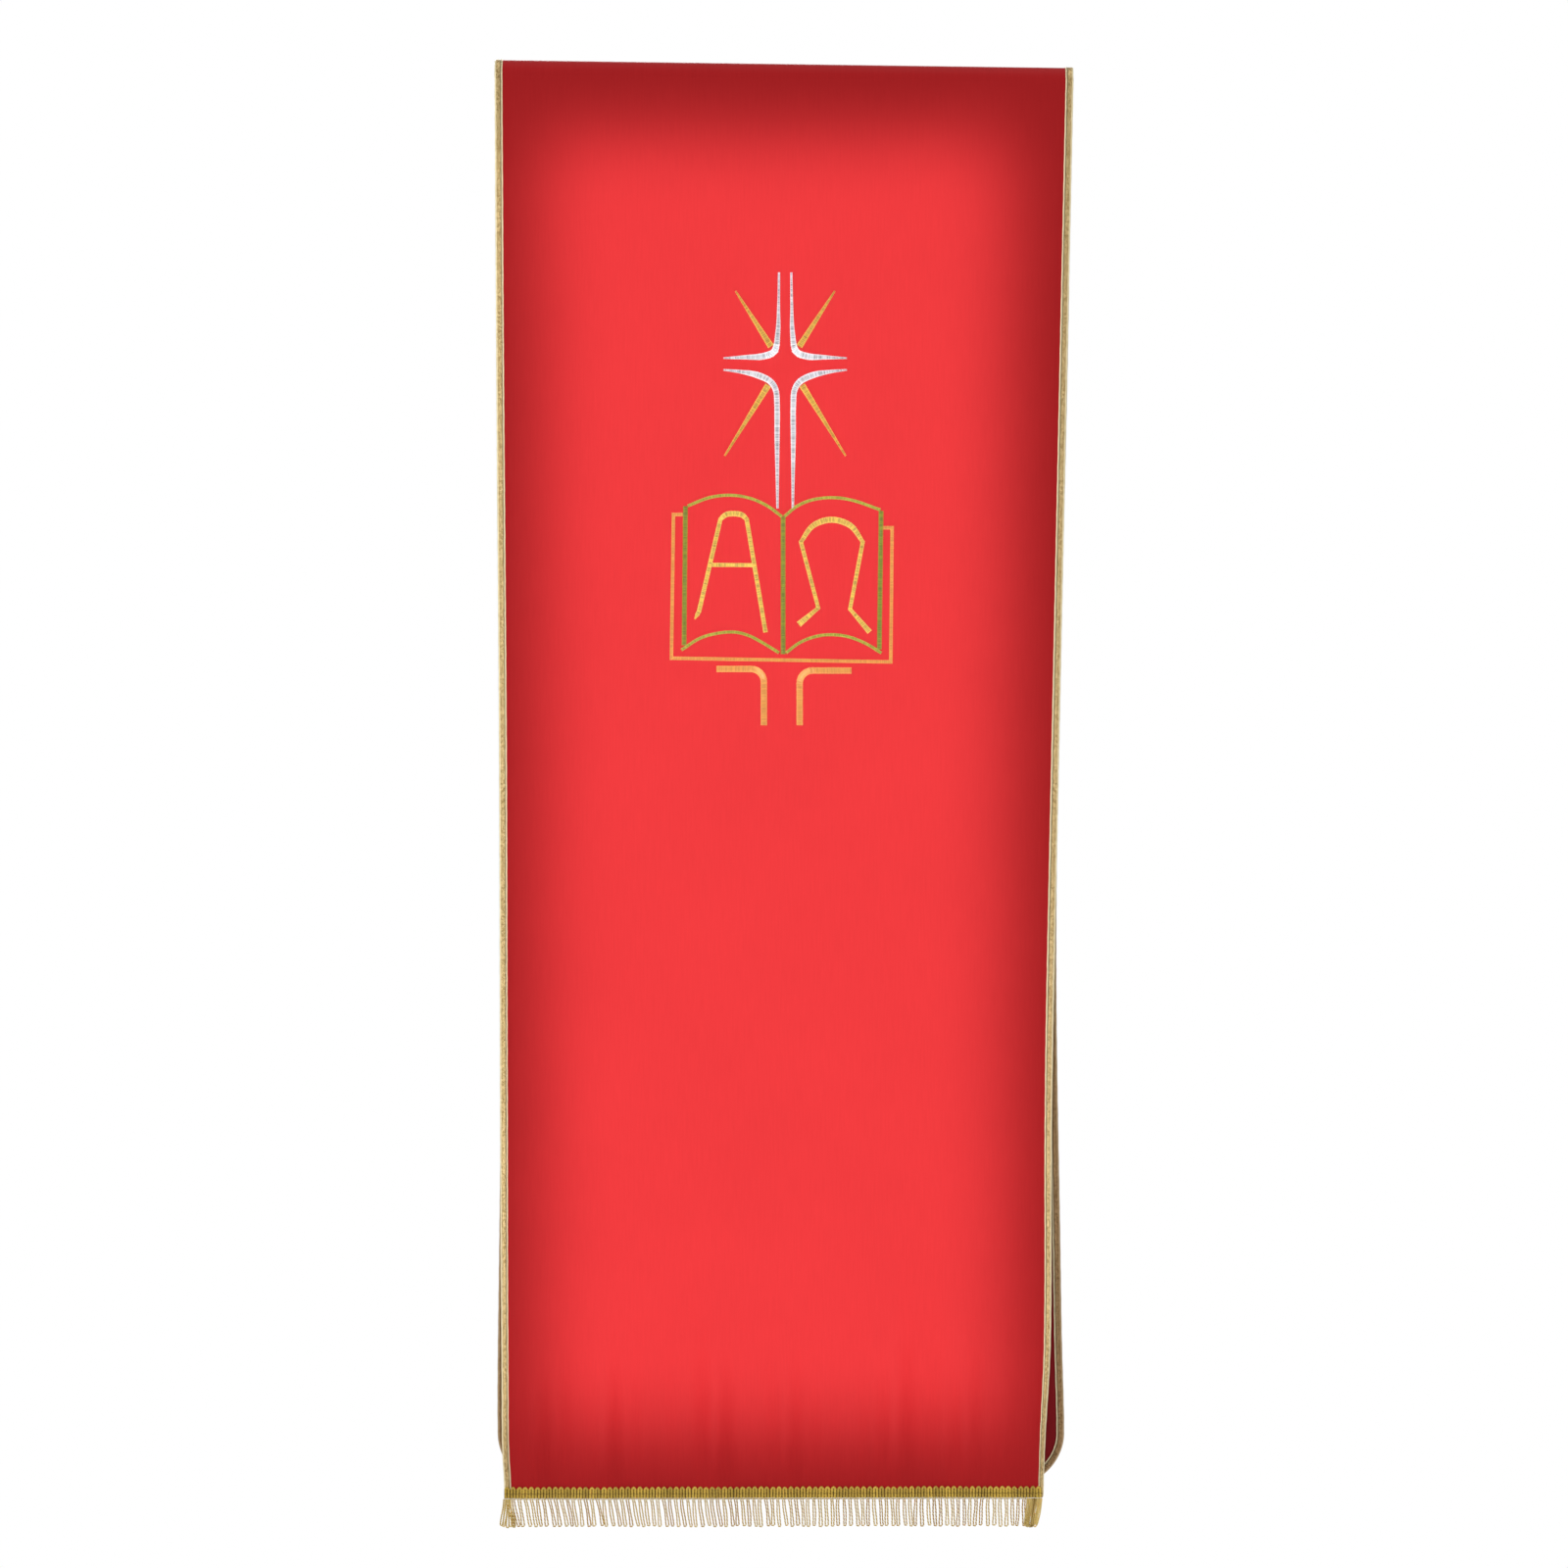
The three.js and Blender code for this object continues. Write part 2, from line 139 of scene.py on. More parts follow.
# Node and mesh helpers
def addNode(tree, kind, **values):
    node = tree.nodes.new(kind)
    for name, value in values.items():
        setattr(node, name, value)
    return node


def feed(tree, socket, value):
    if isinstance(value, bpy.types.NodeSocket):
        tree.links.new(value, socket)
    else:
        socket.default_value = value


def compute(tree, operation, *values):
    node = addNode(tree, "ShaderNodeMath", operation=operation)
    for socket, value in zip(node.inputs, values):
        feed(tree, socket, value)
    return node.outputs[0]


def addShares(tree, *parts):
    scaled = [compute(tree, "MULTIPLY", value, share) for value, share in parts]
    total = scaled[0]
    for value in scaled[1:]:
        total = compute(tree, "ADD", total, value)
    return total


def meshPiece(name, points, faces, uvs=None, sharpAngle=50):
    mesh = bpy.data.meshes.new(name)
    mesh.from_pydata([tuple(p) for p in points], [], faces)
    if uvs is not None:
        layer = mesh.uv_layers.new(name="flat")
        corners = np.empty(len(mesh.loops), dtype=np.int32)
        mesh.loops.foreach_get("vertex_index", corners)
        layer.data.foreach_set("uv", np.array(uvs, dtype=np.float32)[corners].ravel())
    mesh.update()
    piece = bpy.data.objects.new(name, mesh)
    bpy.context.collection.objects.link(piece)
    faceOutwards(piece)
    mesh.shade_smooth()
    mesh.set_sharp_from_angle(angle=math.radians(sharpAngle))
    return piece


def faceOutwards(piece):
    work = bmesh.new()
    work.from_mesh(piece.data)
    bmesh.ops.recalc_face_normals(work, faces=work.faces)
    work.to_mesh(piece.data)
    work.free()


# Rings of equal length joined into a tube. Each ring closes on itself, and both ends are capped.
def tubeFaces(ringCount, ringLength, first=0):
    faces = []
    for i in range(ringCount - 1):
        for j in range(ringLength):
            k = (j + 1) % ringLength
            a = first + i * ringLength
            b = a + ringLength
            faces.append((a + j, a + k, b + k, b + j))
    faces.append(tuple(first + j for j in reversed(range(ringLength))))
    last = first + (ringCount - 1) * ringLength
    faces.append(tuple(last + j for j in range(ringLength)))
    return faces


def joinPieces(name, pieces):
    with bpy.context.temp_override(active_object=pieces[0], selected_editable_objects=pieces):
        bpy.ops.object.join()
    pieces[0].name = name
    pieces[0].data.name = name
    return pieces[0]


def settle(piece):
    graph = bpy.context.evaluated_depsgraph_get()
    made = bpy.data.meshes.new_from_object(piece.evaluated_get(graph))
    piece.modifiers.clear()
    piece.data = made
    made.name = piece.name
    return piece


def newTree(name, sizes):
    tree = bpy.data.node_groups.new(name, "GeometryNodeTree")
    tree.interface.new_socket(name="Geometry", in_out="INPUT", socket_type="NodeSocketGeometry")
    for label, value in sizes.items():
        kind = "NodeSocketInt" if isinstance(value, int) else "NodeSocketFloat"
        socket = tree.interface.new_socket(name=label, in_out="INPUT", socket_type=kind)
        socket.default_value = value
    tree.interface.new_socket(name="Geometry", in_out="OUTPUT", socket_type="NodeSocketGeometry")
    return tree, tree.nodes.new("NodeGroupInput"), tree.nodes.new("NodeGroupOutput")


def applyTree(piece, tree, sizes):
    modifier = piece.modifiers.new(tree.name, "NODES")
    modifier.node_group = tree
    for item in tree.interface.items_tree:
        if item.in_out == "INPUT" and item.name in sizes:
            modifier[item.identifier] = sizes[item.name]
    return settle(piece)


def polyline(name, points, across=None):
    mesh = bpy.data.meshes.new(name)
    mesh.from_pydata([tuple(p) for p in points], [(i, i + 1) for i in range(len(points) - 1)], [])
    if across is not None:
        layer = mesh.attributes.new("across", "FLOAT_VECTOR", "POINT")
        layer.data.foreach_set("vector", np.array(across, dtype=np.float32).ravel())
    piece = bpy.data.objects.new(name, mesh)
    bpy.context.collection.objects.link(piece)
    return piece


# Materials
def newMaterial(name, **constants):
    material = bpy.data.materials.new(name)
    material.use_nodes = True
    shader = material.node_tree.nodes["Principled BSDF"]
    for label, value in constants.items():
        shader.inputs[label.replace("_", " ")].default_value = value
    return material, material.node_tree, shader


def colourRamp(tree, factor, stops):
    ramp = addNode(tree, "ShaderNodeValToRGB")
    elements = ramp.color_ramp.elements
    while len(elements) < len(stops):
        elements.new(0.5)
    for element, (position, colour) in zip(elements, stops):
        element.position = position
        element.color = (*colour, 1.0)
    tree.links.new(factor, ramp.inputs["Fac"])
    return ramp.outputs["Color"]


def flatPlace(tree, scale=(1.0, 1.0, 1.0), turn=0.0):
    coords = addNode(tree, "ShaderNodeUVMap", uv_map="flat")
    mapping = addNode(tree, "ShaderNodeMapping")
    mapping.inputs["Scale"].default_value = scale
    mapping.inputs["Rotation"].default_value = (0.0, 0.0, turn)
    tree.links.new(coords.outputs["UV"], mapping.inputs["Vector"])
    return mapping.outputs["Vector"]


def objectPlace(tree):
    coords = addNode(tree, "ShaderNodeTexCoord")
    return coords.outputs["Object"]


def noiseOf(tree, place, scale, detail=2.0):
    noise = addNode(tree, "ShaderNodeTexNoise")
    noise.inputs["Scale"].default_value = scale
    noise.inputs["Detail"].default_value = detail
    tree.links.new(place, noise.inputs["Vector"])
    return noise.outputs["Fac"]


def waveOf(tree, place, scale, direction):
    wave = addNode(tree, "ShaderNodeTexWave", bands_direction=direction)
    wave.inputs["Scale"].default_value = scale
    tree.links.new(place, wave.inputs["Vector"])
    return wave.outputs["Fac"]


def bumpFrom(tree, shader, height, strength, distance):
    bump = addNode(tree, "ShaderNodeBump")
    bump.inputs["Strength"].default_value = strength
    bump.inputs["Distance"].default_value = distance
    tree.links.new(height, bump.inputs["Height"])
    tree.links.new(bump.outputs["Normal"], shader.inputs["Normal"])


def mixColours(tree, factor, first, second, blend="MIX"):
    node = addNode(tree, "ShaderNodeMix", data_type="RGBA", blend_type=blend)
    feed(tree, node.inputs[0], factor)
    for socket, value in ((node.inputs[6], first), (node.inputs[7], second)):
        feed(tree, socket, (*value, 1.0) if isinstance(value, tuple) else value)
    return node.outputs[2]


wavePeriod = math.pi / 10  # of a wave texture whose scale is 1


redFinish = {
    "deep": (0.392, 0.0125, 0.0145),
    "bright": (0.43, 0.0150, 0.0170),
    # painted shade: the inside faces, between the two falls and over the bar, are coloured about half as
    # bright as the outer face
    "shadedInsideDeep": (0.21, 0.0095, 0.013),
    "shadedInsideBright": (0.25, 0.012, 0.016),
    "threadPitch": 0.55 * mm,
    "slubLength": 26 * mm,
    "slubWidth": 1.4 * mm,
    "cloudScale": 9.0,
}


def makeRedCloth(name, deep, bright, roughness):
    material, tree, shader = newMaterial(
        name, Roughness=roughness, Specular_IOR_Level=0.14, Sheen_Weight=0.06, Sheen_Roughness=0.4
    )
    shader.inputs["Sheen Tint"].default_value = (1.0, 0.2, 0.18, 1.0)
    shader.inputs["Specular Tint"].default_value = (1.0, 0.35, 0.35, 1.0)
    flat = flatPlace(tree)
    weaveScale = wavePeriod / redFinish["threadPitch"]
    warp = waveOf(tree, flat, weaveScale, "X")
    weft = waveOf(tree, flat, weaveScale * 0.8, "Y")
    weave = addShares(tree, (warp, 0.65), (weft, 0.35))
    slubPlace = flatPlace(tree, (1 / redFinish["slubWidth"], 1 / redFinish["slubLength"], 1.0))
    slubs = noiseOf(tree, slubPlace, 1.0, 3.0)
    clouds = noiseOf(tree, flat, redFinish["cloudScale"], 3.0)
    shade = addShares(tree, (slubs, 0.6), (clouds, 0.4))
    colour = colourRamp(tree, shade, [(0.3, deep), (0.7, bright)])
    tree.links.new(colour, shader.inputs["Base Color"])
    height = compute(tree, "ADD", weave, compute(tree, "MULTIPLY", slubs, 0.8))
    bumpFrom(tree, shader, height, 0.22, 0.12 * mm)
    return material


tapeFinish = {
    "dark": (0.11, 0.062, 0.016),
    "middle": (0.56, 0.44, 0.2),
    "pale": (0.97, 0.88, 0.6),
    "middleTint": (0.82, 0.68, 0.5),  # the web between the two edges with painted highlights is browner
    # painted highlight along the rolled outer edge and the raised inner edge
    "edgeHighlightTint": (1.0, 0.87, 0.55),
    # painted shade in the groove along the stitch line
    "grooveShadeTint": (0.08, 0.043, 0.01),
    # middle and half width of two stripes, from the outer edge
    "web": (0.0034, 0.0021),
    "groove": (0.0053, 0.00048),
    "ribPitch": 1.5 * mm,
    "flakeSize": 0.9 * mm,
    "insideShadeTint": (0.56, 0.46, 0.42),  # painted shade: the leg of the tape inside the cover is darker and browner, as if in the shadow between the falls
    # where the painted highlight on the inner edge begins and the one on the outer edge ends, from the outer
    # edge
    "selvedge": 0.0058,
    "outerEdge": 0.0013,
}


def makeTapeMaterial():
    material, tree, shader = newMaterial("woven_gold_tape", Metallic=0.45, Roughness=0.38)
    flat = flatPlace(tree)
    ribScale = wavePeriod / tapeFinish["ribPitch"]
    left = waveOf(tree, flatPlace(tree, turn=0.8), ribScale, "X")
    right = waveOf(tree, flatPlace(tree, turn=-0.8), ribScale, "X")
    weave = compute(tree, "MAXIMUM", left, right)
    flakes = addNode(tree, "ShaderNodeTexVoronoi")
    flakes.inputs["Scale"].default_value = 1 / tapeFinish["flakeSize"]
    tree.links.new(flat, flakes.inputs["Vector"])
    glitter = addNode(tree, "ShaderNodeSeparateColor")
    tree.links.new(flakes.outputs["Color"], glitter.inputs["Color"])
    shade = addShares(tree, (weave, 0.45), (glitter.outputs[0], 0.55))
    stops = [(0.12, tapeFinish["dark"]), (0.5, tapeFinish["middle"]), (0.85, tapeFinish["pale"])]
    woven = colourRamp(tree, shade, stops)
    place = addNode(tree, "ShaderNodeSeparateXYZ")
    tree.links.new(flat, place.inputs[0])
    inward = compute(tree, "ABSOLUTE", place.outputs[0])
    onSelvedge = compute(tree, "GREATER_THAN", inward, tapeFinish["selvedge"])
    shadedGroove = compute(tree, "COMPARE", inward, *tapeFinish["groove"])
    inWeb = compute(tree, "COMPARE", inward, *tapeFinish["web"])
    toned = mixColours(tree, inWeb, woven, tapeFinish["middleTint"], "MULTIPLY")
    onOuterEdge = compute(tree, "LESS_THAN", inward, tapeFinish["outerEdge"])
    # painted highlight on the rolled outer edge and the raised inner edge
    bright = compute(tree, "MAXIMUM", onSelvedge, onOuterEdge)
    toned = mixColours(tree, compute(tree, "MULTIPLY", bright, 0.7), toned, tapeFinish["edgeHighlightTint"])
    # painted shade in the groove along the stitch line
    toned = mixColours(tree, compute(tree, "MULTIPLY", shadedGroove, 0.8), toned, tapeFinish["grooveShadeTint"])
    # painted shade on the leg inside the cover, except on its selvedge
    inside = compute(tree, "LESS_THAN", place.outputs[0], 0.0)
    paintedInsideShade = compute(tree, "MULTIPLY", inside, compute(tree, "SUBTRACT", 1.0, onSelvedge))
    toned = mixColours(tree, paintedInsideShade, toned, tapeFinish["insideShadeTint"], "MULTIPLY")
    tree.links.new(toned, shader.inputs["Base Color"])
    bumpFrom(tree, shader, compute(tree, "ADD", weave, glitter.outputs[1]), 0.5, 0.12 * mm)
    return material


# Yarn of one colour whose tone differs from strand to strand, and where asked from ply to ply; where asked,
# a painted highlight at the ends of each thread
def makeYarn(
    name, dark, light, roughness, metallic, accent=None, tipHighlight=None, strandShare=0.55, plyShare=0.0
):
    material, tree, shader = newMaterial(name, Roughness=roughness, Metallic=metallic)
    strand = addNode(tree, "ShaderNodeAttribute", attribute_name="threadShade")
    fibres = noiseOf(tree, objectPlace(tree), 1 / (0.7 * mm), 2.0)
    parts = [(strand.outputs["Fac"], strandShare), (fibres, 1 - strandShare - plyShare)]
    if plyShare:
        ply = addNode(tree, "ShaderNodeAttribute", attribute_name="plyTone")
        parts.append((ply.outputs["Fac"], plyShare))
    shade = addShares(tree, *parts)
    stops = [(0.18, dark), (0.75, light)]
    if accent:
        stops = [(0.16, accent), (0.24, dark), (0.75, light)]
    colour = colourRamp(tree, shade, stops)
    # painted highlight: each thread's colour is blended towards a paler one at its ends, where it turns down
    # into the cloth
    if tipHighlight:
        span = addNode(tree, "ShaderNodeAttribute", attribute_name="threadSpan")
        share = compute(tree, "MULTIPLY", compute(tree, "POWER", span.outputs["Fac"], 2.5), 0.85)
        colour = mixColours(tree, share, colour, tipHighlight)
    tree.links.new(colour, shader.inputs["Base Color"])
    bumpFrom(tree, shader, fibres, 0.25, 0.08 * mm)
    return material


redCloth = makeRedCloth("red_satin_face", redFinish["deep"], redFinish["bright"], 0.5)
# painted shade on the faces between the falls and over the bar; its higher roughness is the duller wrong
# side of the satin
redInsideShaded = makeRedCloth("red_satin_inside", redFinish["shadedInsideDeep"], redFinish["shadedInsideBright"], 0.7)
goldTape = makeTapeMaterial()
tapeThread = makeYarn("tape_sewing_thread", (0.36, 0.26, 0.11), (0.62, 0.5, 0.28), 0.45, 0.2)
gimpYarn = makeYarn(
    "mustard_gimp_yarn", (0.22, 0.125, 0.008), (0.9, 0.62, 0.09), 0.5, 0.12, strandShare=0.2
)
# painted shade: the band behind the gimp is dark so that the gaps between the legs read as shadow
gimpShadow = makeYarn(
    "gimp_ground_weave", (0.07, 0.04, 0.004), (0.2, 0.13, 0.015), 0.7, 0.0, strandShare=0.0
)
gimpThread = makeYarn("gimp_sewing_thread", (0.14, 0.085, 0.01), (0.3, 0.2, 0.04), 0.6, 0.0)
fringeYarn = makeYarn(
    "pale_gold_fringe_cord",
    (0.50, 0.28, 0.004),
    (0.94, 0.81, 0.46),
    0.32,
    0.12,
    accent=(0.40, 0.17, 0.003),
    strandShare=0.25,
    plyShare=0.5,
)
tuftYarn = makeYarn("mustard_tuft_cord", (0.24, 0.13, 0.008), (0.88, 0.68, 0.24), 0.42, 0.12)
silverThread = makeYarn(
    "silver_thread", (0.13, 0.13, 0.145), (0.58, 0.58, 0.61), 0.32, 0.2, tipHighlight=(0.92, 0.92, 0.94)
)
goldThread = makeYarn(
    "gold_thread", (0.20, 0.095, 0.004), (0.56, 0.35, 0.045), 0.36, 0.12, tipHighlight=(0.80, 0.54, 0.11)
)
letterThread = makeYarn(
    "letter_gold_thread", (0.20, 0.12, 0.006), (0.68, 0.47, 0.075), 0.36, 0.12, tipHighlight=(0.74, 0.55, 0.15)
)
greenThread = makeYarn(
    "green_thread", (0.07, 0.075, 0.002), (0.215, 0.22, 0.012), 0.42, 0.05, tipHighlight=(0.3, 0.3, 0.03)
)
paleGreenThread = makeYarn(
    "pale_green_thread", (0.15, 0.155, 0.006), (0.36, 0.36, 0.035), 0.42, 0.05, tipHighlight=(0.44, 0.46, 0.09)
)
orangeThread = makeYarn(
    "orange_thread", (0.40, 0.145, 0.02), (0.58, 0.26, 0.045), 0.45, 0.03, tipHighlight=(0.66, 0.34, 0.1)
)
bobbinThread = makeYarn("white_bobbin_thread", (0.55, 0.53, 0.5), (0.85, 0.84, 0.8), 0.55, 0.0)


def makeBackingMaterial():
    material, tree, shader = newMaterial("nonwoven_backing", Roughness=0.85)
    fibres = noiseOf(tree, flatPlace(tree), 1 / (1.3 * mm), 6.0)
    stops = [(0.35, (0.6, 0.58, 0.54)), (0.65, (0.8, 0.79, 0.75))]
    tree.links.new(colourRamp(tree, fibres, stops), shader.inputs["Base Color"])
    bumpFrom(tree, shader, fibres, 0.4, 0.1 * mm)
    return material


def makeFloorMaterial():
    material, tree, shader = newMaterial("pale_floor", Roughness=0.8)
    grain = noiseOf(tree, objectPlace(tree), 30.0, 4.0)
    stops = [(0.3, (0.88, 0.88, 0.88)), (0.7, (0.9, 0.9, 0.9))]
    tree.links.new(colourRamp(tree, grain, stops), shader.inputs["Base Color"])
    parts = addNode(tree, "ShaderNodeSeparateXYZ")
    tree.links.new(objectPlace(tree), parts.inputs[0])
    east = compute(tree, "POWER", parts.outputs[0], 2.0)
    north = compute(tree, "POWER", parts.outputs[1], 2.0)
    outward = compute(tree, "SQRT", compute(tree, "ADD", east, north))
    fade = addNode(tree, "ShaderNodeMapRange", interpolation_type="SMOOTHSTEP")
    fadeFrom, fadeTo = studio["floorFade"]
    fade.inputs["From Min"].default_value = studio["floorRadius"] * fadeFrom
    fade.inputs["From Max"].default_value = studio["floorRadius"] * fadeTo
    tree.links.new(outward, fade.inputs["Value"])
    glow = tree.nodes.new("ShaderNodeEmission")
    blend = tree.nodes.new("ShaderNodeMixShader")
    tree.links.new(fade.outputs["Result"], blend.inputs["Fac"])
    tree.links.new(shader.outputs[0], blend.inputs[1])
    tree.links.new(glow.outputs[0], blend.inputs[2])
    tree.links.new(blend.outputs[0], tree.nodes["Material Output"].inputs["Surface"])
    return material


print("materials ready")


# How the cover hangs. A place on it is x across and its depth along the cloth from the crown of the fold.
frontLow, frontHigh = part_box("front_fall_cloth")
headerLow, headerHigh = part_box("fringe_header")
loopsLow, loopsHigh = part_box("fringe_loops")
endTapeLow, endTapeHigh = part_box("rear_end_binding")
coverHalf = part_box("top_fold_binding_right")[1].x
swingZ = frontHigh.z
clothThickness = frontHigh.y - frontLow.y
foldRadius = -(frontLow.y + frontHigh.y) / 2
foldArc = foldRadius * math.pi / 2
hemDepth = foldArc + swingZ - frontLow.z
rearDepth = foldArc + swingZ - endTapeLow.z
joinDepth = foldArc + swingZ - endTapeHigh.z
rearGrowth = (rearDepth - foldArc) / (joinDepth - foldArc)
rearInset = 8.5 * mm  # of the rear end's right side from the fold's

frontFace = {
    "towards": -1.0,
    "endDepth": hemDepth,
    "ends": {-1: headerLow.x, 1: headerHigh.x},
    "corner": 0.0,
    # where a side edge hangs in or out of its straight line: side, centre, reach above, reach below, amount
    "draws": [
        (-1, 0.6, 0.25, 0.3, 1.0 * mm),
        (-1, 1.15, 0.12, 0.06, 0.5 * mm),
        (-1, 1.2466, 0.035, 0.05, 2.5 * mm),
        (1, 1.11, 0.14, 0.07, 3.6 * mm),
    ],
    # where the edge curls away and its tape looks narrower: side, start, reach, share lost
    "curls": [(-1, 0.9, 0.25, 0.1), (1, 0.75, 0.3, 0.1), (1, 1.08, 0.16, 0.22)],
    # ripples over the hem and long waves in the whole fall: wavelength, phase, height
    "ripples": [
        (0.083, 0.6, 1.8 * mm),
        (0.053, 2.3, 2.0 * mm),
        (0.129, 4.1, 1.4 * mm),
        (0.031, 1.2, 1.3 * mm),
    ],
    "rippleReach": 0.1,
    "waves": [(0.36, 0.9, 1.6 * mm), (0.61, 2.2, 1.8 * mm)],
    "waveStart": 0.58,
}
rearFace = {
    "towards": 1.0,
    "endDepth": rearDepth,
    "ends": {
        -1: -coverHalf + (endTapeLow.x + coverHalf) * rearGrowth,
        1: coverHalf - rearInset,
    },
    "corner": 47 * mm,
    "draws": [
        (1, 0.74, 0.42, 0.3, -9.0 * mm),
        (1, 1.19, 0.06, 0.05, 1.8 * mm),
        (-1, 0.78, 0.42, 0.26, 3.6 * mm),
        (-1, 1.16, 0.1, 0.06, -0.9 * mm),
    ],
    "curls": [],
    "ripples": [(0.13, 1.9, 1.5 * mm), (0.08, 0.3, 0.8 * mm)],
    "rippleReach": 0.3,
    "waves": [(0.47, 1.7, 2.6 * mm), (0.23, 0.4, 1.6 * mm)],
    "waveStart": 0.2,
}
topDrape = {
    "tilt": -0.014,
    "reach": 0.16,
    "hemRise": 0.8 * mm,
    "hemSag": 0.4 * mm,
    "sagCentre": 0.13,
    "sagLength": 0.36,
    "hemReach": 0.05,
}
# how much of its ripples and waves a fall keeps at its end, and over what height it gains the rest
hemHold = {
    "rippleShare": 0.25,
    "rippleHeight": 0.03,
    "waveShare": 0.45,
    "waveHeight": 0.08,
    "waveGrowth": 0.5,
}


def smooth(share):
    share = min(max(share, 0.0), 1.0)
    return share * share * (3 - 2 * share)


def edgeX(face, side, depth):
    share = max(depth - foldArc, 0.0) / (face["endDepth"] - foldArc)
    x = (1 - share) * side * coverHalf + share * face["ends"][side]
    for drawSide, centre, above, below, amount in face["draws"]:
        if drawSide == side:
            reach = above if depth < centre else below
            x += amount * math.exp(-(((depth - centre) / reach) ** 2))
    return x


def outlineX(face, side, depth, inset):
    x = edgeX(face, side, depth) - side * inset
    radius = face["corner"] - inset
    past = depth - (face["endDepth"] - face["corner"])
    if face["corner"] and past > 0:
        x -= side * (radius - math.sqrt(max(radius * radius - past * past, 0.0)))
    return x


def waveSum(waves, x):
    return sum(size * math.sin(2 * math.pi * x / length + phase) for length, phase, size in waves)


def riseFrom(share, rise):
    return share + (1 - share) * smooth(rise)


def sway(face, x, depth):
    height = face["endDepth"] - depth
    reach = riseFrom(hemHold["rippleShare"], height / hemHold["rippleHeight"])
    reach *= math.exp(-((height / face["rippleReach"]) ** 2))
    grow = smooth((depth - face["waveStart"]) / hemHold["waveGrowth"])
    grow *= riseFrom(hemHold["waveShare"], height / hemHold["waveHeight"])
    return waveSum(face["ripples"], x) * reach + waveSum(face["waves"], x) * grow


def drop(face, x, depth):
    tilt = topDrape["tilt"] * x * math.exp(-((depth / topDrape["reach"]) ** 2))
    height = face["endDepth"] - depth
    sag = topDrape["hemSag"] * math.cos(math.pi * (x - topDrape["sagCentre"]) / topDrape["sagLength"])
    rise = topDrape["hemRise"] + sag
    return tilt + rise * math.exp(-((height / topDrape["hemReach"]) ** 2))


def hang(face, x, depth, lift=0.0):
    radius = foldRadius + lift
    if depth <= foldArc:
        angle = depth / foldRadius
        y = radius * math.sin(angle)
        z = swingZ + radius * math.cos(angle)
    else:
        y = radius + sway(face, x, depth)
        z = swingZ - (depth - foldArc)
    return Vector((x, face["towards"] * y, z + drop(face, x, depth)))


# Cloth: two sheets that meet on the crown of the fold
clothCut = {
    "edgeInset": 0.7 * mm,
    "columns": 96,
    "rowStep": 5.2 * mm,
    "foldRows": 26,
    "bendRows": 14,
    "cornerRows": 14,
}
bendReach = 16 * mm  # of the stretch that bends when a fall is lifted


def clothRows(face):
    rows = [0.0, 0.04 * mm, 0.3 * mm]
    rows += [foldArc * (i + 1) / clothCut["foldRows"] for i in range(clothCut["foldRows"])]
    rows += [foldArc + bendReach * (i + 1) / clothCut["bendRows"] for i in range(clothCut["bendRows"])]
    begin = foldArc + bendReach
    stop = face["endDepth"] - face["corner"]
    steps = round((stop - begin) / clothCut["rowStep"])
    rows += [begin + (stop - begin) * (i + 1) / steps for i in range(steps)]
    radius = face["corner"] - clothCut["edgeInset"]
    if face["corner"]:
        turns = [math.pi / 2 * (i + 1) / clothCut["cornerRows"] for i in range(clothCut["cornerRows"])]
        rows += [stop + radius * math.sin(turn) for turn in turns]
    return rows


def makeCloth(name, face):
    rows = clothRows(face)
    columns = clothCut["columns"]
    points, flats, faces = [], [], []
    for depth in rows:
        left = outlineX(face, -1, depth, clothCut["edgeInset"])
        right = outlineX(face, 1, depth, clothCut["edgeInset"])
        for j in range(columns + 1):
            x = left + (right - left) * j / columns
            points.append(hang(face, x, depth))
            flats.append((x, depth))
    for i in range(len(rows) - 1):
        for j in range(columns):
            a = i * (columns + 1) + j
            b = a + columns + 1
            faces.append((a, a + 1, b + 1, b))
    cloth = meshPiece(name, points, faces, flats)
    outward = cloth.data.polygons[len(cloth.data.polygons) // 2].normal.y * face["towards"] > 0
    cloth.data.materials.append(redCloth if outward else redInsideShaded)
    cloth.data.materials.append(redInsideShaded if outward else redCloth)
    wall = cloth.modifiers.new("wall", "SOLIDIFY")
    wall.thickness = clothThickness
    wall.offset = 0.0
    wall.material_offset = 1
    settle(cloth)
    cloth.data.set_sharp_from_angle(angle=math.radians(50))
    return cloth


frontCloth = makeCloth("front_cloth", frontFace)
rearCloth = makeCloth("rear_cloth", rearFace)
print("cloth hung")


# Tape folded over the edges. Its section is drawn inwards from the edge and out from the cloth.
tapeSection = {
    "outside": [
        (6.8, 0.36), (6.8, 0.66), (6.5, 0.9), (6.1, 0.96), (5.7, 0.86), (5.4, 0.62), (5.0, 0.7),
        (4.2, 0.84), (3.0, 0.9), (1.8, 0.88), (0.9, 0.82), (0.35, 0.62), (0.08, 0.34), (0.0, 0.0),
    ],
    "inside": [(0.6, 0.35), (0.44, 0.2)],
    "step": 3.0 * mm,
    "wobble": 0.07 * mm,
    "seam": (5.38 * mm, 0.74 * mm),  # of its stitches: in from the edge and out from the cloth
    "cornerSteps": 18,
}


def tapeRing(grow):
    outside = [(t * mm, (n + grow * min(t / 2, 1)) * mm) for t, n in tapeSection["outside"]]
    inside = [(t * mm, n * mm) for t, n in tapeSection["inside"]]
    ring = outside + [(t, -n) for t, n in reversed(outside[:-1])]
    ring += [(t, -n) for t, n in inside] + [(0.4 * mm, 0.0)] + [(t, n) for t, n in reversed(inside)]
    return ring


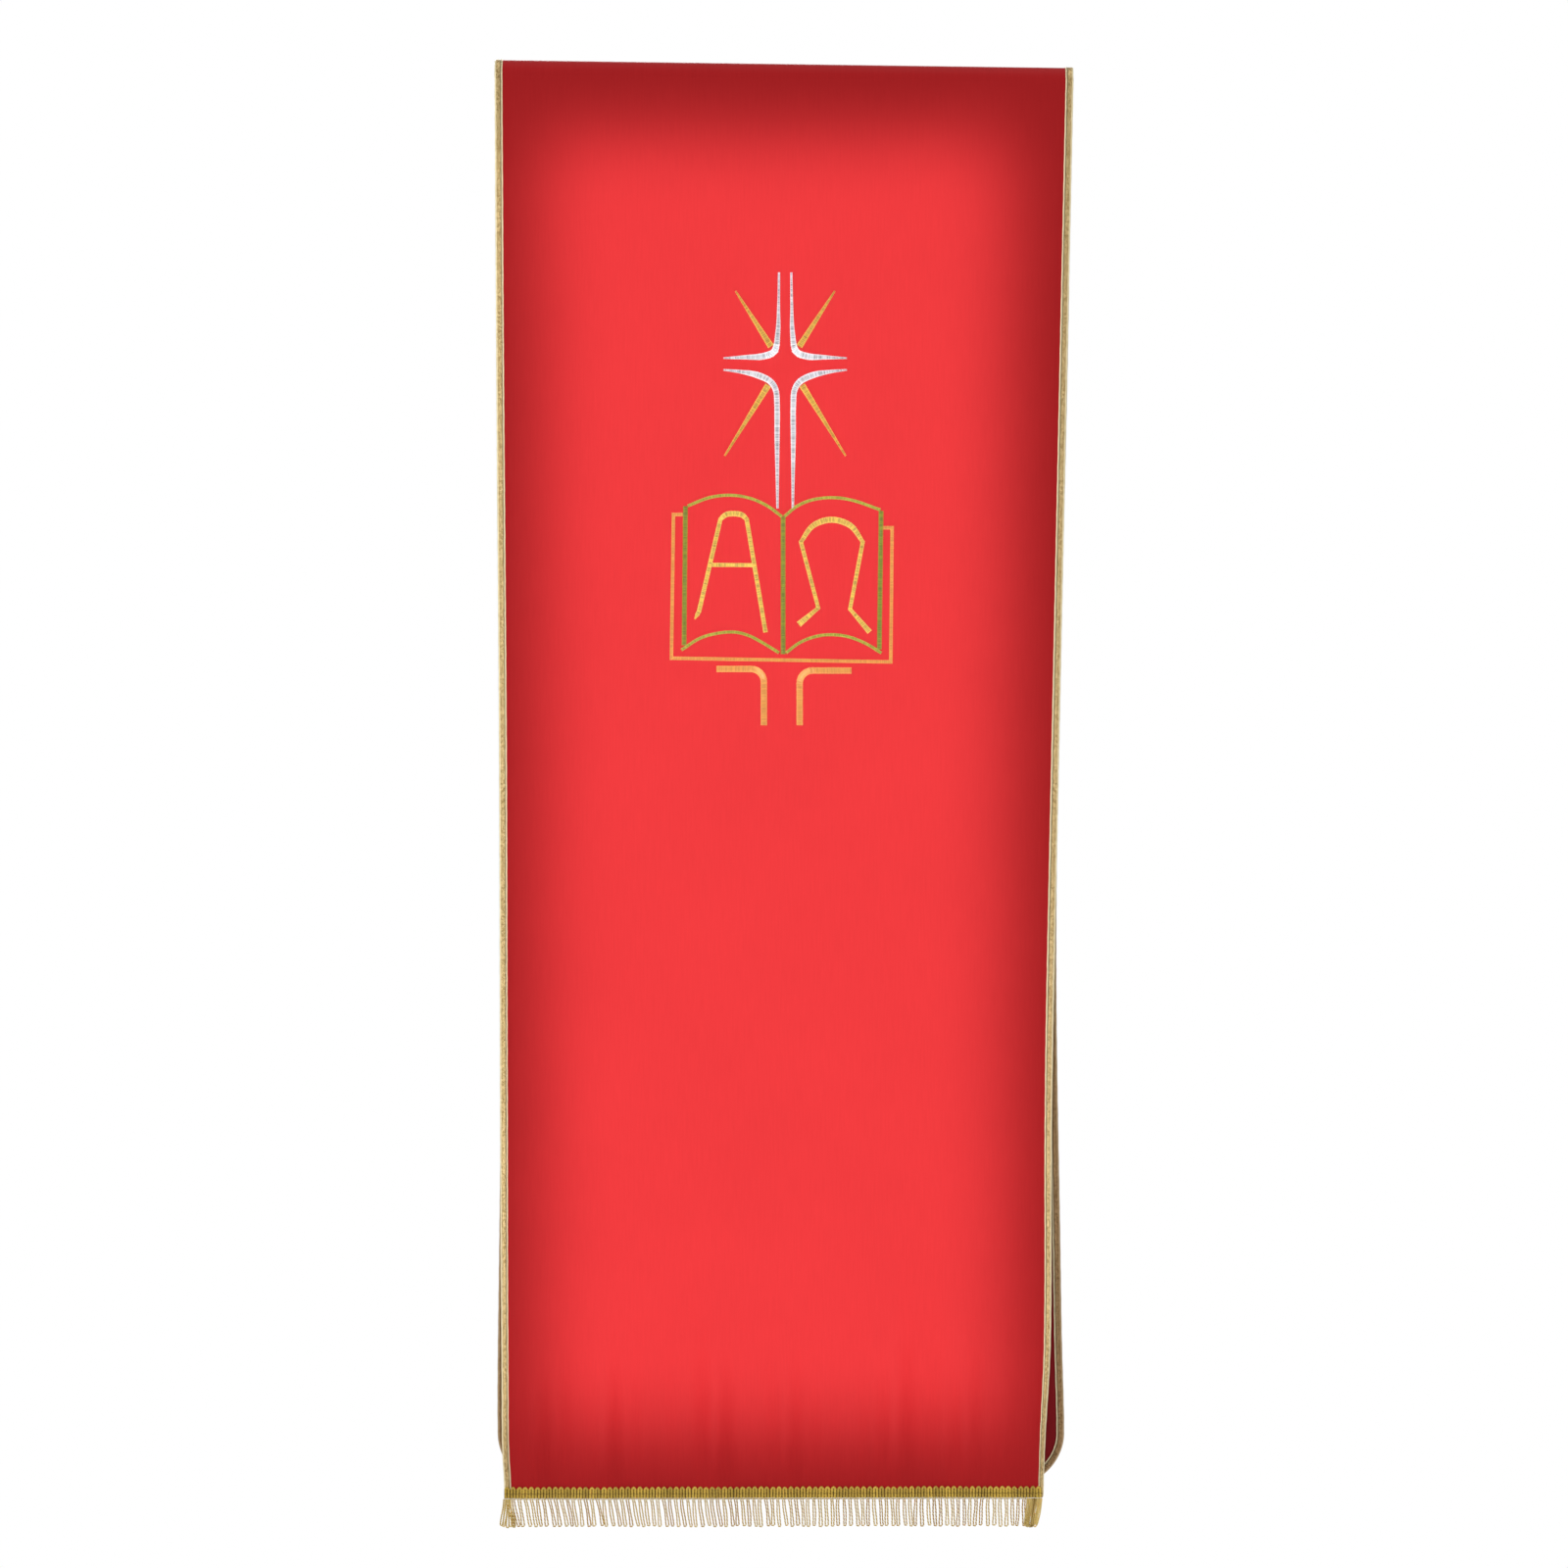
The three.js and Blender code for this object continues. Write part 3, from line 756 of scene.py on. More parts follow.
# A route along an edge: x, depth, and the direction inwards from the edge.
def sideRoute(face, side, start, end):
    route = []
    depths = [start]
    while depths[-1] < end - tapeSection["step"] * 1.4:
        nearFold = depths[-1] < foldArc + bendReach
        depths.append(depths[-1] + tapeSection["step"] * (0.4 if nearFold else 1.0))
    for depth in depths + [end]:
        wobble = tapeSection["wobble"] * (math.sin(depth * 310 + side) + 0.6 * math.sin(depth * 790))
        lost = sum(
            share * smooth((depth - begin) / reach)
            for curlSide, begin, reach, share in face["curls"]
            if curlSide == side
        )
        route.append((edgeX(face, side, depth) + wobble, depth, -side * (1 - lost), 0.0))
    return route


def cornerRoute(face, side):
    radius = face["corner"]
    route = []
    for i in range(tapeSection["cornerSteps"] + 1):
        angle = math.pi / 2 * i / tapeSection["cornerSteps"]
        depth = face["endDepth"] - radius + radius * math.sin(angle)
        x = edgeX(face, side, depth) - side * radius * (1 - math.cos(angle))
        route.append((x, depth, -side * math.cos(angle), -math.sin(angle)))
    return route


def endRoute(face, start):
    left = sideRoute(face, -1, start, face["endDepth"] - face["corner"])
    leftCorner = cornerRoute(face, -1)
    rightCorner = cornerRoute(face, 1)
    fromX, toX = leftCorner[-1][0], rightCorner[-1][0]
    steps = round((toX - fromX) / tapeSection["step"])
    bottom = [(fromX + (toX - fromX) * i / steps, face["endDepth"], 0.0, -1.0) for i in range(1, steps)]
    right = sideRoute(face, 1, start, face["endDepth"] - face["corner"])
    return left[:-1] + leftCorner + bottom + rightCorner[::-1] + right[::-1][1:]


def makeTape(name, face, route, grow=0.0):
    ring = tapeRing(grow)
    points, flats = [], []
    along = 0.0
    for i, (x, depth, inX, inDepth) in enumerate(route):
        if i:
            along += math.hypot(x - route[i - 1][0], depth - route[i - 1][1])
        for t, lift in ring:
            points.append(hang(face, x + inX * t, depth + inDepth * t, lift))
            flats.append((t if lift >= 0 else -t, along))
    tape = meshPiece(name, points, tubeFaces(len(route), len(ring)), flats)
    tape.data.materials.append(goldTape)
    return tape


# A row of running stitches along a line
stitchSizes = {"Stitch Length": 2.6 * mm, "Stitch Gap": 0.7 * mm, "Thread Radius": 0.2 * mm, "Seed": 3}


def threadArc(tree, radius, dome, segments, sides):
    line = addNode(tree, "GeometryNodeMeshLine")
    line.inputs["Count"].default_value = segments + 1
    line.inputs["Start Location"].default_value = (-0.5, 0.0, 0.0)
    line.inputs["Offset"].default_value = (1 / segments, 0.0, 0.0)
    curve = addNode(tree, "GeometryNodeMeshToCurve")
    place = addNode(tree, "GeometryNodeInputPosition")
    parts = addNode(tree, "ShaderNodeSeparateXYZ")
    offset = addNode(tree, "ShaderNodeCombineXYZ")
    move = addNode(tree, "GeometryNodeSetPosition")
    profile = addNode(tree, "GeometryNodeCurvePrimitiveCircle")
    profile.inputs["Resolution"].default_value = sides
    tube = addNode(tree, "GeometryNodeCurveToMesh")
    tube.inputs["Fill Caps"].default_value = True
    tree.links.new(line.outputs["Mesh"], curve.inputs["Mesh"])
    tree.links.new(place.outputs[0], parts.inputs[0])
    span = compute(tree, "ABSOLUTE", compute(tree, "MULTIPLY", parts.outputs[0], 2.0))
    rise = compute(tree, "SUBTRACT", 1.0, compute(tree, "POWER", span, 2.4))
    mark = addNode(tree, "GeometryNodeStoreNamedAttribute", data_type="FLOAT", domain="POINT")
    mark.inputs["Name"].default_value = "threadSpan"
    tree.links.new(curve.outputs[0], mark.inputs["Geometry"])
    tree.links.new(span, mark.inputs["Value"])
    tree.links.new(compute(tree, "MULTIPLY", rise, compute(tree, "MULTIPLY", dome, -1.0)), offset.inputs[1])
    tree.links.new(mark.outputs[0], move.inputs["Geometry"])
    tree.links.new(offset.outputs[0], move.inputs["Offset"])
    feed(tree, profile.inputs["Radius"], radius)
    tree.links.new(move.outputs[0], tube.inputs["Curve"])
    tree.links.new(profile.outputs[0], tube.inputs["Profile Curve"])
    return tube.outputs[0]


def randomFloat(tree, low, high, seed, salt):
    node = addNode(tree, "FunctionNodeRandomValue", data_type="FLOAT")
    node.inputs[2].default_value = low
    node.inputs[3].default_value = high
    tree.links.new(compute(tree, "ADD", seed, float(salt)), node.inputs["Seed"])
    return node.outputs[1]


def shadeAndFinish(tree, instances, seed, material, out):
    store = addNode(tree, "GeometryNodeStoreNamedAttribute", data_type="FLOAT", domain="INSTANCE")
    store.inputs["Name"].default_value = "threadShade"
    realize = addNode(tree, "GeometryNodeRealizeInstances")
    soften = addNode(tree, "GeometryNodeSetShadeSmooth")
    paint = addNode(tree, "GeometryNodeSetMaterial")
    paint.inputs["Material"].default_value = material
    tree.links.new(instances, store.inputs["Geometry"])
    tree.links.new(randomFloat(tree, 0.0, 1.0, seed, 11), store.inputs["Value"])
    tree.links.new(store.outputs[0], realize.inputs[0])
    tree.links.new(realize.outputs[0], soften.inputs[0])
    tree.links.new(soften.outputs[0], paint.inputs["Geometry"])
    tree.links.new(paint.outputs[0], out.inputs[0])


def stitchTree(material):
    tree, start, out = newTree(f"running_stitch_{material.name}", stitchSizes)
    curve = addNode(tree, "GeometryNodeMeshToCurve")
    spread = addNode(tree, "GeometryNodeResampleCurve", mode="LENGTH")
    tangent = addNode(tree, "GeometryNodeInputTangent")
    turn = addNode(tree, "FunctionNodeAlignRotationToVector", axis="X")
    size = addNode(tree, "ShaderNodeCombineXYZ")
    place = addNode(tree, "GeometryNodeInstanceOnPoints")
    tree.links.new(start.outputs["Geometry"], curve.inputs["Mesh"])
    tree.links.new(curve.outputs[0], spread.inputs["Curve"])
    pitch = compute(tree, "ADD", start.outputs["Stitch Length"], start.outputs["Stitch Gap"])
    tree.links.new(pitch, spread.inputs["Length"])
    tree.links.new(tangent.outputs[0], turn.inputs["Vector"])
    vary = randomFloat(tree, 0.92, 1.06, start.outputs["Seed"], 5)
    tree.links.new(compute(tree, "MULTIPLY", start.outputs["Stitch Length"], vary), size.inputs[0])
    size.inputs[1].default_value = 1.0
    size.inputs[2].default_value = 1.0
    arc = threadArc(tree, start.outputs["Thread Radius"], 0.0001, 4, 5)
    tree.links.new(spread.outputs[0], place.inputs["Points"])
    tree.links.new(arc, place.inputs["Instance"])
    tree.links.new(turn.outputs[0], place.inputs["Rotation"])
    tree.links.new(size.outputs[0], place.inputs["Scale"])
    shadeAndFinish(tree, place.outputs[0], start.outputs["Seed"], material, out)
    return tree


tapeStitchTree = stitchTree(tapeThread)
gimpStitchTree = stitchTree(gimpThread)


def stitchTape(name, face, route):
    rows = []
    seamIn, seamLift = tapeSection["seam"]
    for lift in (seamLift, -seamLift):
        spots = [
            hang(face, x + inX * seamIn, depth + inDepth * seamIn, lift)
            for x, depth, inX, inDepth in route
        ]
        rows.append(applyTree(polyline(name, spots), tapeStitchTree, stitchSizes))
    return joinPieces(name, rows)


frontTapes, rearTapes = [], []
for label, side in (("left", -1), ("right", 1)):
    route = sideRoute(frontFace, side, 0.0, hemDepth - 0.6 * mm)
    tape = makeTape(f"front_tape_{label}", frontFace, route)
    stitches = stitchTape(f"front_tape_stitching_{label}", frontFace, route)
    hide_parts(f"front_binding_{label}", f"top_fold_binding_{label}")
    frontTapes += [tape, stitches]
    route = sideRoute(rearFace, side, 0.0, joinDepth + 4 * mm)
    tape = makeTape(f"rear_tape_{label}", rearFace, route)
    stitches = stitchTape(f"rear_tape_stitching_{label}", rearFace, route)
    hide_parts(f"rear_binding_{label}")
    rearTapes += [tape, stitches]

endPath = endRoute(rearFace, joinDepth)
endTape = makeTape("rear_end_tape", rearFace, endPath, grow=0.28)
endStitches = stitchTape("rear_end_tape_stitching", rearFace, endPath)
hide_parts("rear_end_binding")
print("edges bound")


# Fringe header: an inverted loop of thick twisted yarn for each scallop, on a band coloured dark as painted
# shade between the loops
gimp = {
    "legSpacing": 1.3,
    "legRadius": 1.0,
    "depthRadius": 0.75,
    "archHeight": 7.9,
    "plyCount": 3,
    "plyPitch": 2.4,
    "plyDepth": 0.26,
    "ringSides": 9,
    "ringStep": 0.5,
    "pitch": 5.2 * mm,
    "lift": 1.5 * mm,  # of its lower edge over the plain model's
    "waist": 4.2 * mm,
    "yarnLift": 1.35 * mm,
    "seamLifts": (1.86 * mm, -0.42 * mm),
    "bandLifts": (0.36 * mm, 1.0 * mm),
    "bandInset": 0.3 * mm,
    "bandSteps": 117,
    "leftInset": 2.4 * mm,
    "rightInset": 1.4 * mm,
}
rowFrom = headerLow.x + gimp["leftInset"]
rowTo = headerHigh.x - gimp["rightInset"]


def alongRoute(spots, step):
    lengths = [0.0]
    for before, after in zip(spots, spots[1:]):
        lengths.append(lengths[-1] + (after - before).length)
    count = max(round(lengths[-1] / step), 2)
    made = []
    for i in range(count + 1):
        target = lengths[-1] * i / count
        k = min(max(int(np.searchsorted(lengths, target)), 1), len(spots) - 1)
        share = (target - lengths[k - 1]) / max(lengths[k] - lengths[k - 1], 1e-9)
        made.append(spots[k - 1].lerp(spots[k], share))
    return made


# Steps along a yarn: the place, the two directions across the yarn, and how far its plies have turned.
def yarnSteps(spots, step, pitch):
    route = alongRoute(spots, step)
    deepAxis = Vector((0.0, 1.0, 0.0))
    travelled = 0.0
    made = []
    for i, spot in enumerate(route):
        ahead = (route[min(i + 1, len(route) - 1)] - route[max(i - 1, 0)]).normalized()
        if i:
            travelled += (spot - route[i - 1]).length
        across = ahead.cross(deepAxis).normalized()
        made.append((spot, across, across.cross(ahead), 2 * math.pi * travelled / pitch))
    return made


# A yarn whose surface is twisted: its radius swells once for each ply round the yarn.
def twistedYarn(spots, radiusAcross, radiusDeep, step, sides, plies, pitch, depth):
    route = yarnSteps(spots, step, pitch)
    points = []
    for spot, across, deep, phase in route:
        for j in range(sides):
            angle = 2 * math.pi * j / sides
            swell = 1 + depth * math.cos(plies * angle - phase)
            points.append(
                spot
                + across * (radiusAcross * swell * math.cos(angle))
                + deep * (radiusDeep * swell * math.sin(angle))
            )
    return points, tubeFaces(len(route), sides)


def makeGimpUnit():
    half, arch = gimp["legSpacing"] * mm, gimp["archHeight"] * mm
    spots = [Vector((-half, 0.0, 0.2 * mm)), Vector((-half, 0.0, arch))]
    for i in range(1, 8):
        angle = math.pi * i / 8
        spots.append(Vector((-half * math.cos(angle), 0.0, arch + half * 0.9 * math.sin(angle))))
    spots += [Vector((half, 0.0, arch)), Vector((half, 0.0, 0.2 * mm))]
    points, faces = twistedYarn(
        spots,
        gimp["legRadius"] * mm,
        gimp["depthRadius"] * mm,
        gimp["ringStep"] * mm,
        gimp["ringSides"],
        gimp["plyCount"],
        gimp["plyPitch"] * mm,
        gimp["plyDepth"],
    )
    for point in points:  # the sewing thread pulls each leg in at half height
        pinch = math.exp(-(((point.z - gimp["waist"]) / (0.7 * mm)) ** 2))
        legX = math.copysign(half, point.x)
        point.y *= 1 - 0.4 * pinch
        point.x = legX + (point.x - legX) * (1 - 0.22 * pinch)
    return meshPiece("gimp_unit", points, faces, sharpAngle=80)


rowSizes = {
    "Count": 90,
    "Lean Left": 0.0,
    "Lean Right": 0.0,
    "Lean Spread": 0.03,
    "Length Spread": 0.03,
    "Seed": 7,
}


# Copies of a few strand shapes side by side along a line, each leaning a little its own way.
def strandTree(name, strands, material):
    tree, start, out = newTree(name, rowSizes)
    curve = addNode(tree, "GeometryNodeMeshToCurve")
    spread = addNode(tree, "GeometryNodeResampleCurve", mode="COUNT")
    place = addNode(tree, "GeometryNodeInstanceOnPoints")
    share = addNode(tree, "GeometryNodeSplineParameter")
    lean = addNode(tree, "ShaderNodeMapRange")
    turn = addNode(tree, "ShaderNodeCombineXYZ")
    toRotation = addNode(tree, "FunctionNodeEulerToRotation")
    size = addNode(tree, "ShaderNodeCombineXYZ")
    seed = start.outputs["Seed"]
    tree.links.new(start.outputs["Geometry"], curve.inputs["Mesh"])
    tree.links.new(curve.outputs[0], spread.inputs["Curve"])
    tree.links.new(start.outputs["Count"], spread.inputs["Count"])
    tree.links.new(share.outputs["Factor"], lean.inputs["Value"])
    tree.links.new(start.outputs["Lean Left"], lean.inputs["To Min"])
    tree.links.new(start.outputs["Lean Right"], lean.inputs["To Max"])
    wander = compute(tree, "MULTIPLY", randomFloat(tree, -1.0, 1.0, seed, 1), start.outputs["Lean Spread"])
    tree.links.new(compute(tree, "ADD", lean.outputs["Result"], wander), turn.inputs[1])
    tilt = compute(tree, "MULTIPLY", randomFloat(tree, -0.5, 0.5, seed, 2), start.outputs["Lean Spread"])
    tree.links.new(tilt, turn.inputs[0])
    tree.links.new(turn.outputs[0], toRotation.inputs[0])
    stretch = randomFloat(tree, -1.0, 1.0, seed, 3)
    longer = compute(tree, "MULTIPLY", stretch, start.outputs["Length Spread"])
    tree.links.new(compute(tree, "ADD", longer, 1.0), size.inputs[2])
    tree.links.new(randomFloat(tree, 0.93, 1.05, seed, 4), size.inputs[0])
    size.inputs[1].default_value = 1.0
    joined = addNode(tree, "GeometryNodeGeometryToInstance")
    for strand in reversed(strands):
        source = addNode(tree, "GeometryNodeObjectInfo")
        source.inputs["Object"].default_value = strand
        tree.links.new(source.outputs["Geometry"], joined.inputs[0])
    pick = addNode(tree, "FunctionNodeRandomValue", data_type="INT")
    pick.inputs[4].default_value = 0
    pick.inputs[5].default_value = len(strands) - 1
    tree.links.new(compute(tree, "ADD", seed, 9.0), pick.inputs["Seed"])
    place.inputs["Pick Instance"].default_value = True
    tree.links.new(spread.outputs[0], place.inputs["Points"])
    tree.links.new(joined.outputs[0], place.inputs["Instance"])
    tree.links.new(pick.outputs[2], place.inputs["Instance Index"])
    tree.links.new(toRotation.outputs[0], place.inputs["Rotation"])
    tree.links.new(size.outputs[0], place.inputs["Scale"])
    shadeAndFinish(tree, place.outputs[0], seed, material, out)
    return tree


# The line along the hem at a height over the header's lower edge, with a lift from the cloth's middle.
def hemLine(name, fromX, toX, height, lift):
    depth = foldArc + swingZ - (headerLow.z + height)
    steps = max(round((toX - fromX) / (4 * mm)), 2)
    spots = [
        hang(frontFace, fromX + (toX - fromX) * i / steps, depth, lift) for i in range(steps + 1)
    ]
    return polyline(name, spots)


def makeHeaderBand():
    rings = []
    steps = gimp["bandSteps"]
    low, high = gimp["lift"] + gimp["bandInset"], gimp["lift"] + gimp["archHeight"] * mm
    back, frontLift = gimp["bandLifts"]
    for i in range(steps + 1):
        x = rowFrom + (rowTo - rowFrom) * i / steps
        for height, lift in ((low, back), (low, frontLift), (high, frontLift), (high, back)):
            rings.append(hang(frontFace, x, foldArc + swingZ - (headerLow.z + height), lift))
    band = meshPiece("header_band", rings, tubeFaces(steps + 1, 4))
    # dark colour as painted shade between the gimp's legs
    band.data.materials.append(gimpShadow)
    return band


def makeHeader():
    unit = makeGimpUnit()
    tree = strandTree("gimp_row", [unit], gimpYarn)
    half = gimp["pitch"] / 2
    count = round((rowTo - rowFrom) / gimp["pitch"])
    sizes = {**rowSizes, "Count": count, "Lean Spread": 0.035, "Length Spread": 0.02}
    line = hemLine("gimp_row", rowFrom + half, rowTo - half, gimp["lift"], gimp["yarnLift"])
    row = applyTree(line, tree, sizes)
    bpy.data.objects.remove(unit)
    return joinPieces("fringe_gimp", [row, makeHeaderBand()])


header = makeHeader()
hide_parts("fringe_header")
headerStitches = joinPieces("fringe_gimp_stitching", [
    applyTree(
        hemLine("gimp_stitches", rowFrom + 1 * mm, rowTo - 1 * mm, gimp["lift"] + gimp["waist"], lift),
        gimpStitchTree,
        {**stitchSizes, "Stitch Length": 2.1 * mm, "Stitch Gap": 0.5 * mm, "Thread Radius": 0.2 * mm},
    )
    for lift in gimp["seamLifts"]
])
print("header sewn")


# Fringe: loops of two-ply cord that hang from a cord along the header's lower edge
fringe = {
    "length": loopsHigh.z - loopsLow.z + 1.0 * mm,
    "rootHeight": 1.2 * mm,
    "tuftWidth": 12.6 * mm,
    "plyRadius": 0.42 * mm,
    "chainPlyRadius": 0.26 * mm,
    "plyPitch": 3.1 * mm,
    "legSpacing": 1.15 * mm,
    "legSteps": 12,
    "cordLift": 1.4 * mm,
    "tuftLift": 1.6 * mm,
    # how far each of the loop shapes bows sideways and twists out, in millimetres
    "bowSizes": [(0.25, 0.1), (-0.2, 0.35), (0.5, -0.3), (-0.45, -0.15), (0.1, 0.55), (0.35, 0.3)],
    # strands of the two end knots, and their leans at the left and the right
    "tuftLeft": (5, 0.14, -0.1),
    "tuftRight": (13, 0.1, 0.2),
}


def twoPly(name, spots, step, plyRadius, sides=4):
    route = yarnSteps(spots, step, fringe["plyPitch"])
    points, faces = [], []
    for ply in (0.0, math.pi):
        first = len(points)
        for spot, across, deep, turned in route:
            phase = turned + ply
            centre = spot + (across * math.cos(phase) + deep * math.sin(phase)) * (plyRadius * 0.8)
            for j in range(sides):
                angle = 2 * math.pi * j / sides
                points.append(
                    centre + (across * math.cos(angle) + deep * math.sin(angle)) * plyRadius
                )
        faces += tubeFaces(len(route), sides, first)
    cord = meshPiece(name, points, faces, sharpAngle=170)
    tone = cord.data.attributes.new("plyTone", "FLOAT", "POINT")
    tone.data.foreach_set("value", [float(i >= len(points) // 2) for i in range(len(points))])
    return cord


def makeLoop(number, bow, twist):
    half = fringe["legSpacing"]
    length = fringe["length"] - half
    steps = fringe["legSteps"]
    spots = []
    for i in range(steps + 1):
        share = i / steps
        wander = 0.2 * mm * math.sin(2 * math.pi * share + number)
        x = -half * (0.75 + 0.25 * share) + (bow * mm * math.sin(math.pi * share) + wander)
        spots.append(Vector((x, twist * mm * math.sin(3 * share), -length * share)))
    foot = spots[-1]
    for i in range(1, 6):
        angle = math.pi * i / 6
        x = foot.x + half * (1 - math.cos(angle))
        spots.append(Vector((x, foot.y, foot.z - half * math.sin(angle))))
    for i in range(steps + 1):
        share = 1 - i / steps
        wander = 0.15 * mm * math.sin(2 * math.pi * share - number)
        x = half * (0.75 + 0.25 * share) + (bow * 0.7 * mm * math.sin(math.pi * share) + wander)
        y = -twist * mm * math.sin(3 * share) * 0.5 + foot.y * share
        spots.append(Vector((x, y, -length * share)))
    return twoPly(f"loop_{number}", spots, fringe["plyPitch"] / 5, fringe["plyRadius"])


def makeFringe():
    strands = [makeLoop(i, bow, twist) for i, (bow, twist) in enumerate(fringe["bowSizes"])]
    hangTree = strandTree("loop_row", strands, fringeYarn)
    tuftTree = strandTree("tuft_row", strands, tuftYarn)
    half = gimp["pitch"] / 2
    root = fringe["rootHeight"]
    tuftFrom = rowTo - fringe["tuftWidth"]
    count = round((tuftFrom - rowFrom) / gimp["pitch"])
    line = hemLine("fringe_row", rowFrom + half, tuftFrom - half, root, fringe["cordLift"])
    leans = {"Lean Left": -0.2, "Lean Right": 0.03, "Lean Spread": 0.05}
    row = applyTree(line, hangTree, {**rowSizes, **leans, "Count": count, "Length Spread": 0.025})
    chainLine = hemLine("chain", rowFrom, rowTo, root - 0.15 * mm, fringe["cordLift"])
    cordSpots = [Vector(v.co) for v in chainLine.data.vertices]
    bpy.data.objects.remove(chainLine)
    chain = twoPly("fringe_chain", cordSpots, fringe["plyPitch"] / 5, fringe["chainPlyRadius"])
    chain.data.materials.append(gimpYarn)
    row = joinPieces("fringe_cords", [row, chain])
    tufts = []
    ends = (
        ("left", rowFrom + 0.6 * mm, rowFrom + 6 * mm, fringe["tuftLeft"]),
        ("right", tuftFrom + 0.7 * mm, rowTo - 0.7 * mm, fringe["tuftRight"]),
    )
    for label, fromX, toX, (count, leanLeft, leanRight) in ends:
        line = hemLine(f"tuft_{label}", fromX, toX, root, fringe["tuftLift"])
        leans = {"Lean Left": leanLeft, "Lean Right": leanRight, "Lean Spread": 0.05}
        tuft = applyTree(line, tuftTree, {**leans, "Count": count, "Length Spread": 0.055, "Seed": 21})
        tuft.name = f"fringe_tuft_{label}"
        tufts.append(tuft)
    for strand in strands:
        bpy.data.objects.remove(strand)
    return row, tufts


fringeCords, fringeTufts = makeFringe()
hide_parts("fringe_loops")
print("fringe hung")


# Embroidery: lines of points [x, z, width] in millimetres, drawn from the middle of the cover's top
embroidery = {
    "motifShift": 1.0,
    "pageCurveWidth": 2.9,
    "pageEdgeWidth": 4.3,
    "coverLineWidth": 3.3,
    "standWidth": 5.7,
    "bracketBend": 11.0,
    "spanSteps": 5,
    "fanReach": 0.8,
    "sharpTurn": 12.0,
    "threadReach": 0.35,  # the threads' round ends stand this much past a column's width
}
satinSizes = {"Thread Pitch": 0.52 * mm, "Thread Radius": 0.3 * mm, "Dome Height": 0.62 * mm, "Seed": 5}

upperQuarter = [
    (5.3, -180.6, 2.1), (5.7, -211, 2.8), (6.3, -232, 4.4), (9.4, -248.4, 5.6),
    (18.3, -252.6, 6), (33.5, -253.6, 4.2), (53, -254.3, 1.7),
]
lowerQuarter = [
    (53, -264.5, 1.7), (39, -266, 3.4), (24.6, -268.8, 5.6), (13, -274.3, 5.6), (8.2, -281.5, 5.2),
    (7, -295, 5), (7, -323, 4.6), (6.8, -351, 3.4), (6.6, -383.8, 2.3),
]
upperRay = [(42.7, -196.6, 1.8), (12.4, -244, 5.8)]
standArm, standFoot = 58, -571
lowerRay = [(52.1, -338.5, 1.9), (14.8, -278, 5.8)]
topLeftPoints = [
    (-82.8, -381.8), (-63.8, -374.6), (-45.5, -372.7), (-28.7, -375.5), (-14.6, -381.8), (-2, -391),
]
topRightPoints = [(0.4, -391), (10.7, -382.5), (23.3, -377), (41.6, -374.8), (58.4, -376.9), (83, -385.3)]
bottomLeftPoints = [
    (-88.4, -506.2), (-70.8, -495.4), (-45.5, -490.7), (-31.5, -493.5), (-18.8, -499.9), (-4.6, -508.6),
]
bottomRightPoints = [
    (2, -508.6), (13.5, -500), (27.5, -494.6), (40.2, -493.1), (55.6, -494.9), (71.1, -501), (83.8, -508.8),
]
coverPoints = [
    (-87.6, -389.3), (-95.4, -389.3), (-97.2, -513.4), (92.2, -516.6), (93.3, -400.8), (85.8, -400.8),
]
alphaArch = [
    (-54.9, -393.4, 4), (-50, -389.4, 4.9), (-43, -388.6, 4.9), (-36.2, -389.8, 4.9), (-32.2, -393.4, 4),
]
omegaArch = [(14.6, -413, 3.8), (25, -399, 5), (41, -393.8, 5.4), (57.5, -399, 5.2), (68, -413, 3.8)]


# A centripetal Catmull-Rom curve through points of any dimension
def smoothLine(points):
    rows = [np.array(p, dtype=float) for p in points]
    rows = [2 * rows[0] - rows[1]] + rows + [2 * rows[-1] - rows[-2]]
    made = []
    for k in range(1, len(rows) - 2):
        p0, p1, p2, p3 = rows[k - 1 : k + 3]
        d0, d1, d2 = (np.linalg.norm(b - a) ** 0.5 for a, b in ((p0, p1), (p1, p2), (p2, p3)))
        slope1 = ((p1 - p0) / d0 - (p2 - p0) / (d0 + d1) + (p2 - p1) / d1) * d1
        slope2 = ((p2 - p1) / d1 - (p3 - p1) / (d1 + d2) + (p3 - p2) / d2) * d1
        for i in range(embroidery["spanSteps"]):
            t = i / embroidery["spanSteps"]
            cubic = (2 * p1 - 2 * p2 + slope1 + slope2) * t**3
            square = (-3 * p1 + 3 * p2 - 2 * slope1 - slope2) * t**2
            made.append(tuple(cubic + square + slope1 * t + p1))
    made.append(tuple(rows[-2]))
    return made


def sideways(line, side):
    return [(embroidery["motifShift"] + side * x, z, width) for x, z, width in line]


def evenLine(points, width):
    return [(x, z, width) for x, z in points]


def bracketLine(side, armX, armZ, dropX, footZ):
    bend = embroidery["bracketBend"]
    points = [(armX, armZ)]
    for i in range(7):
        angle = math.pi / 2 * i / 6
        x = dropX + side * bend * (1 - math.sin(angle))
        points.append((x, armZ - bend * (1 - math.cos(angle))))
    points.append((dropX, footZ))
    return evenLine(points, embroidery["standWidth"])


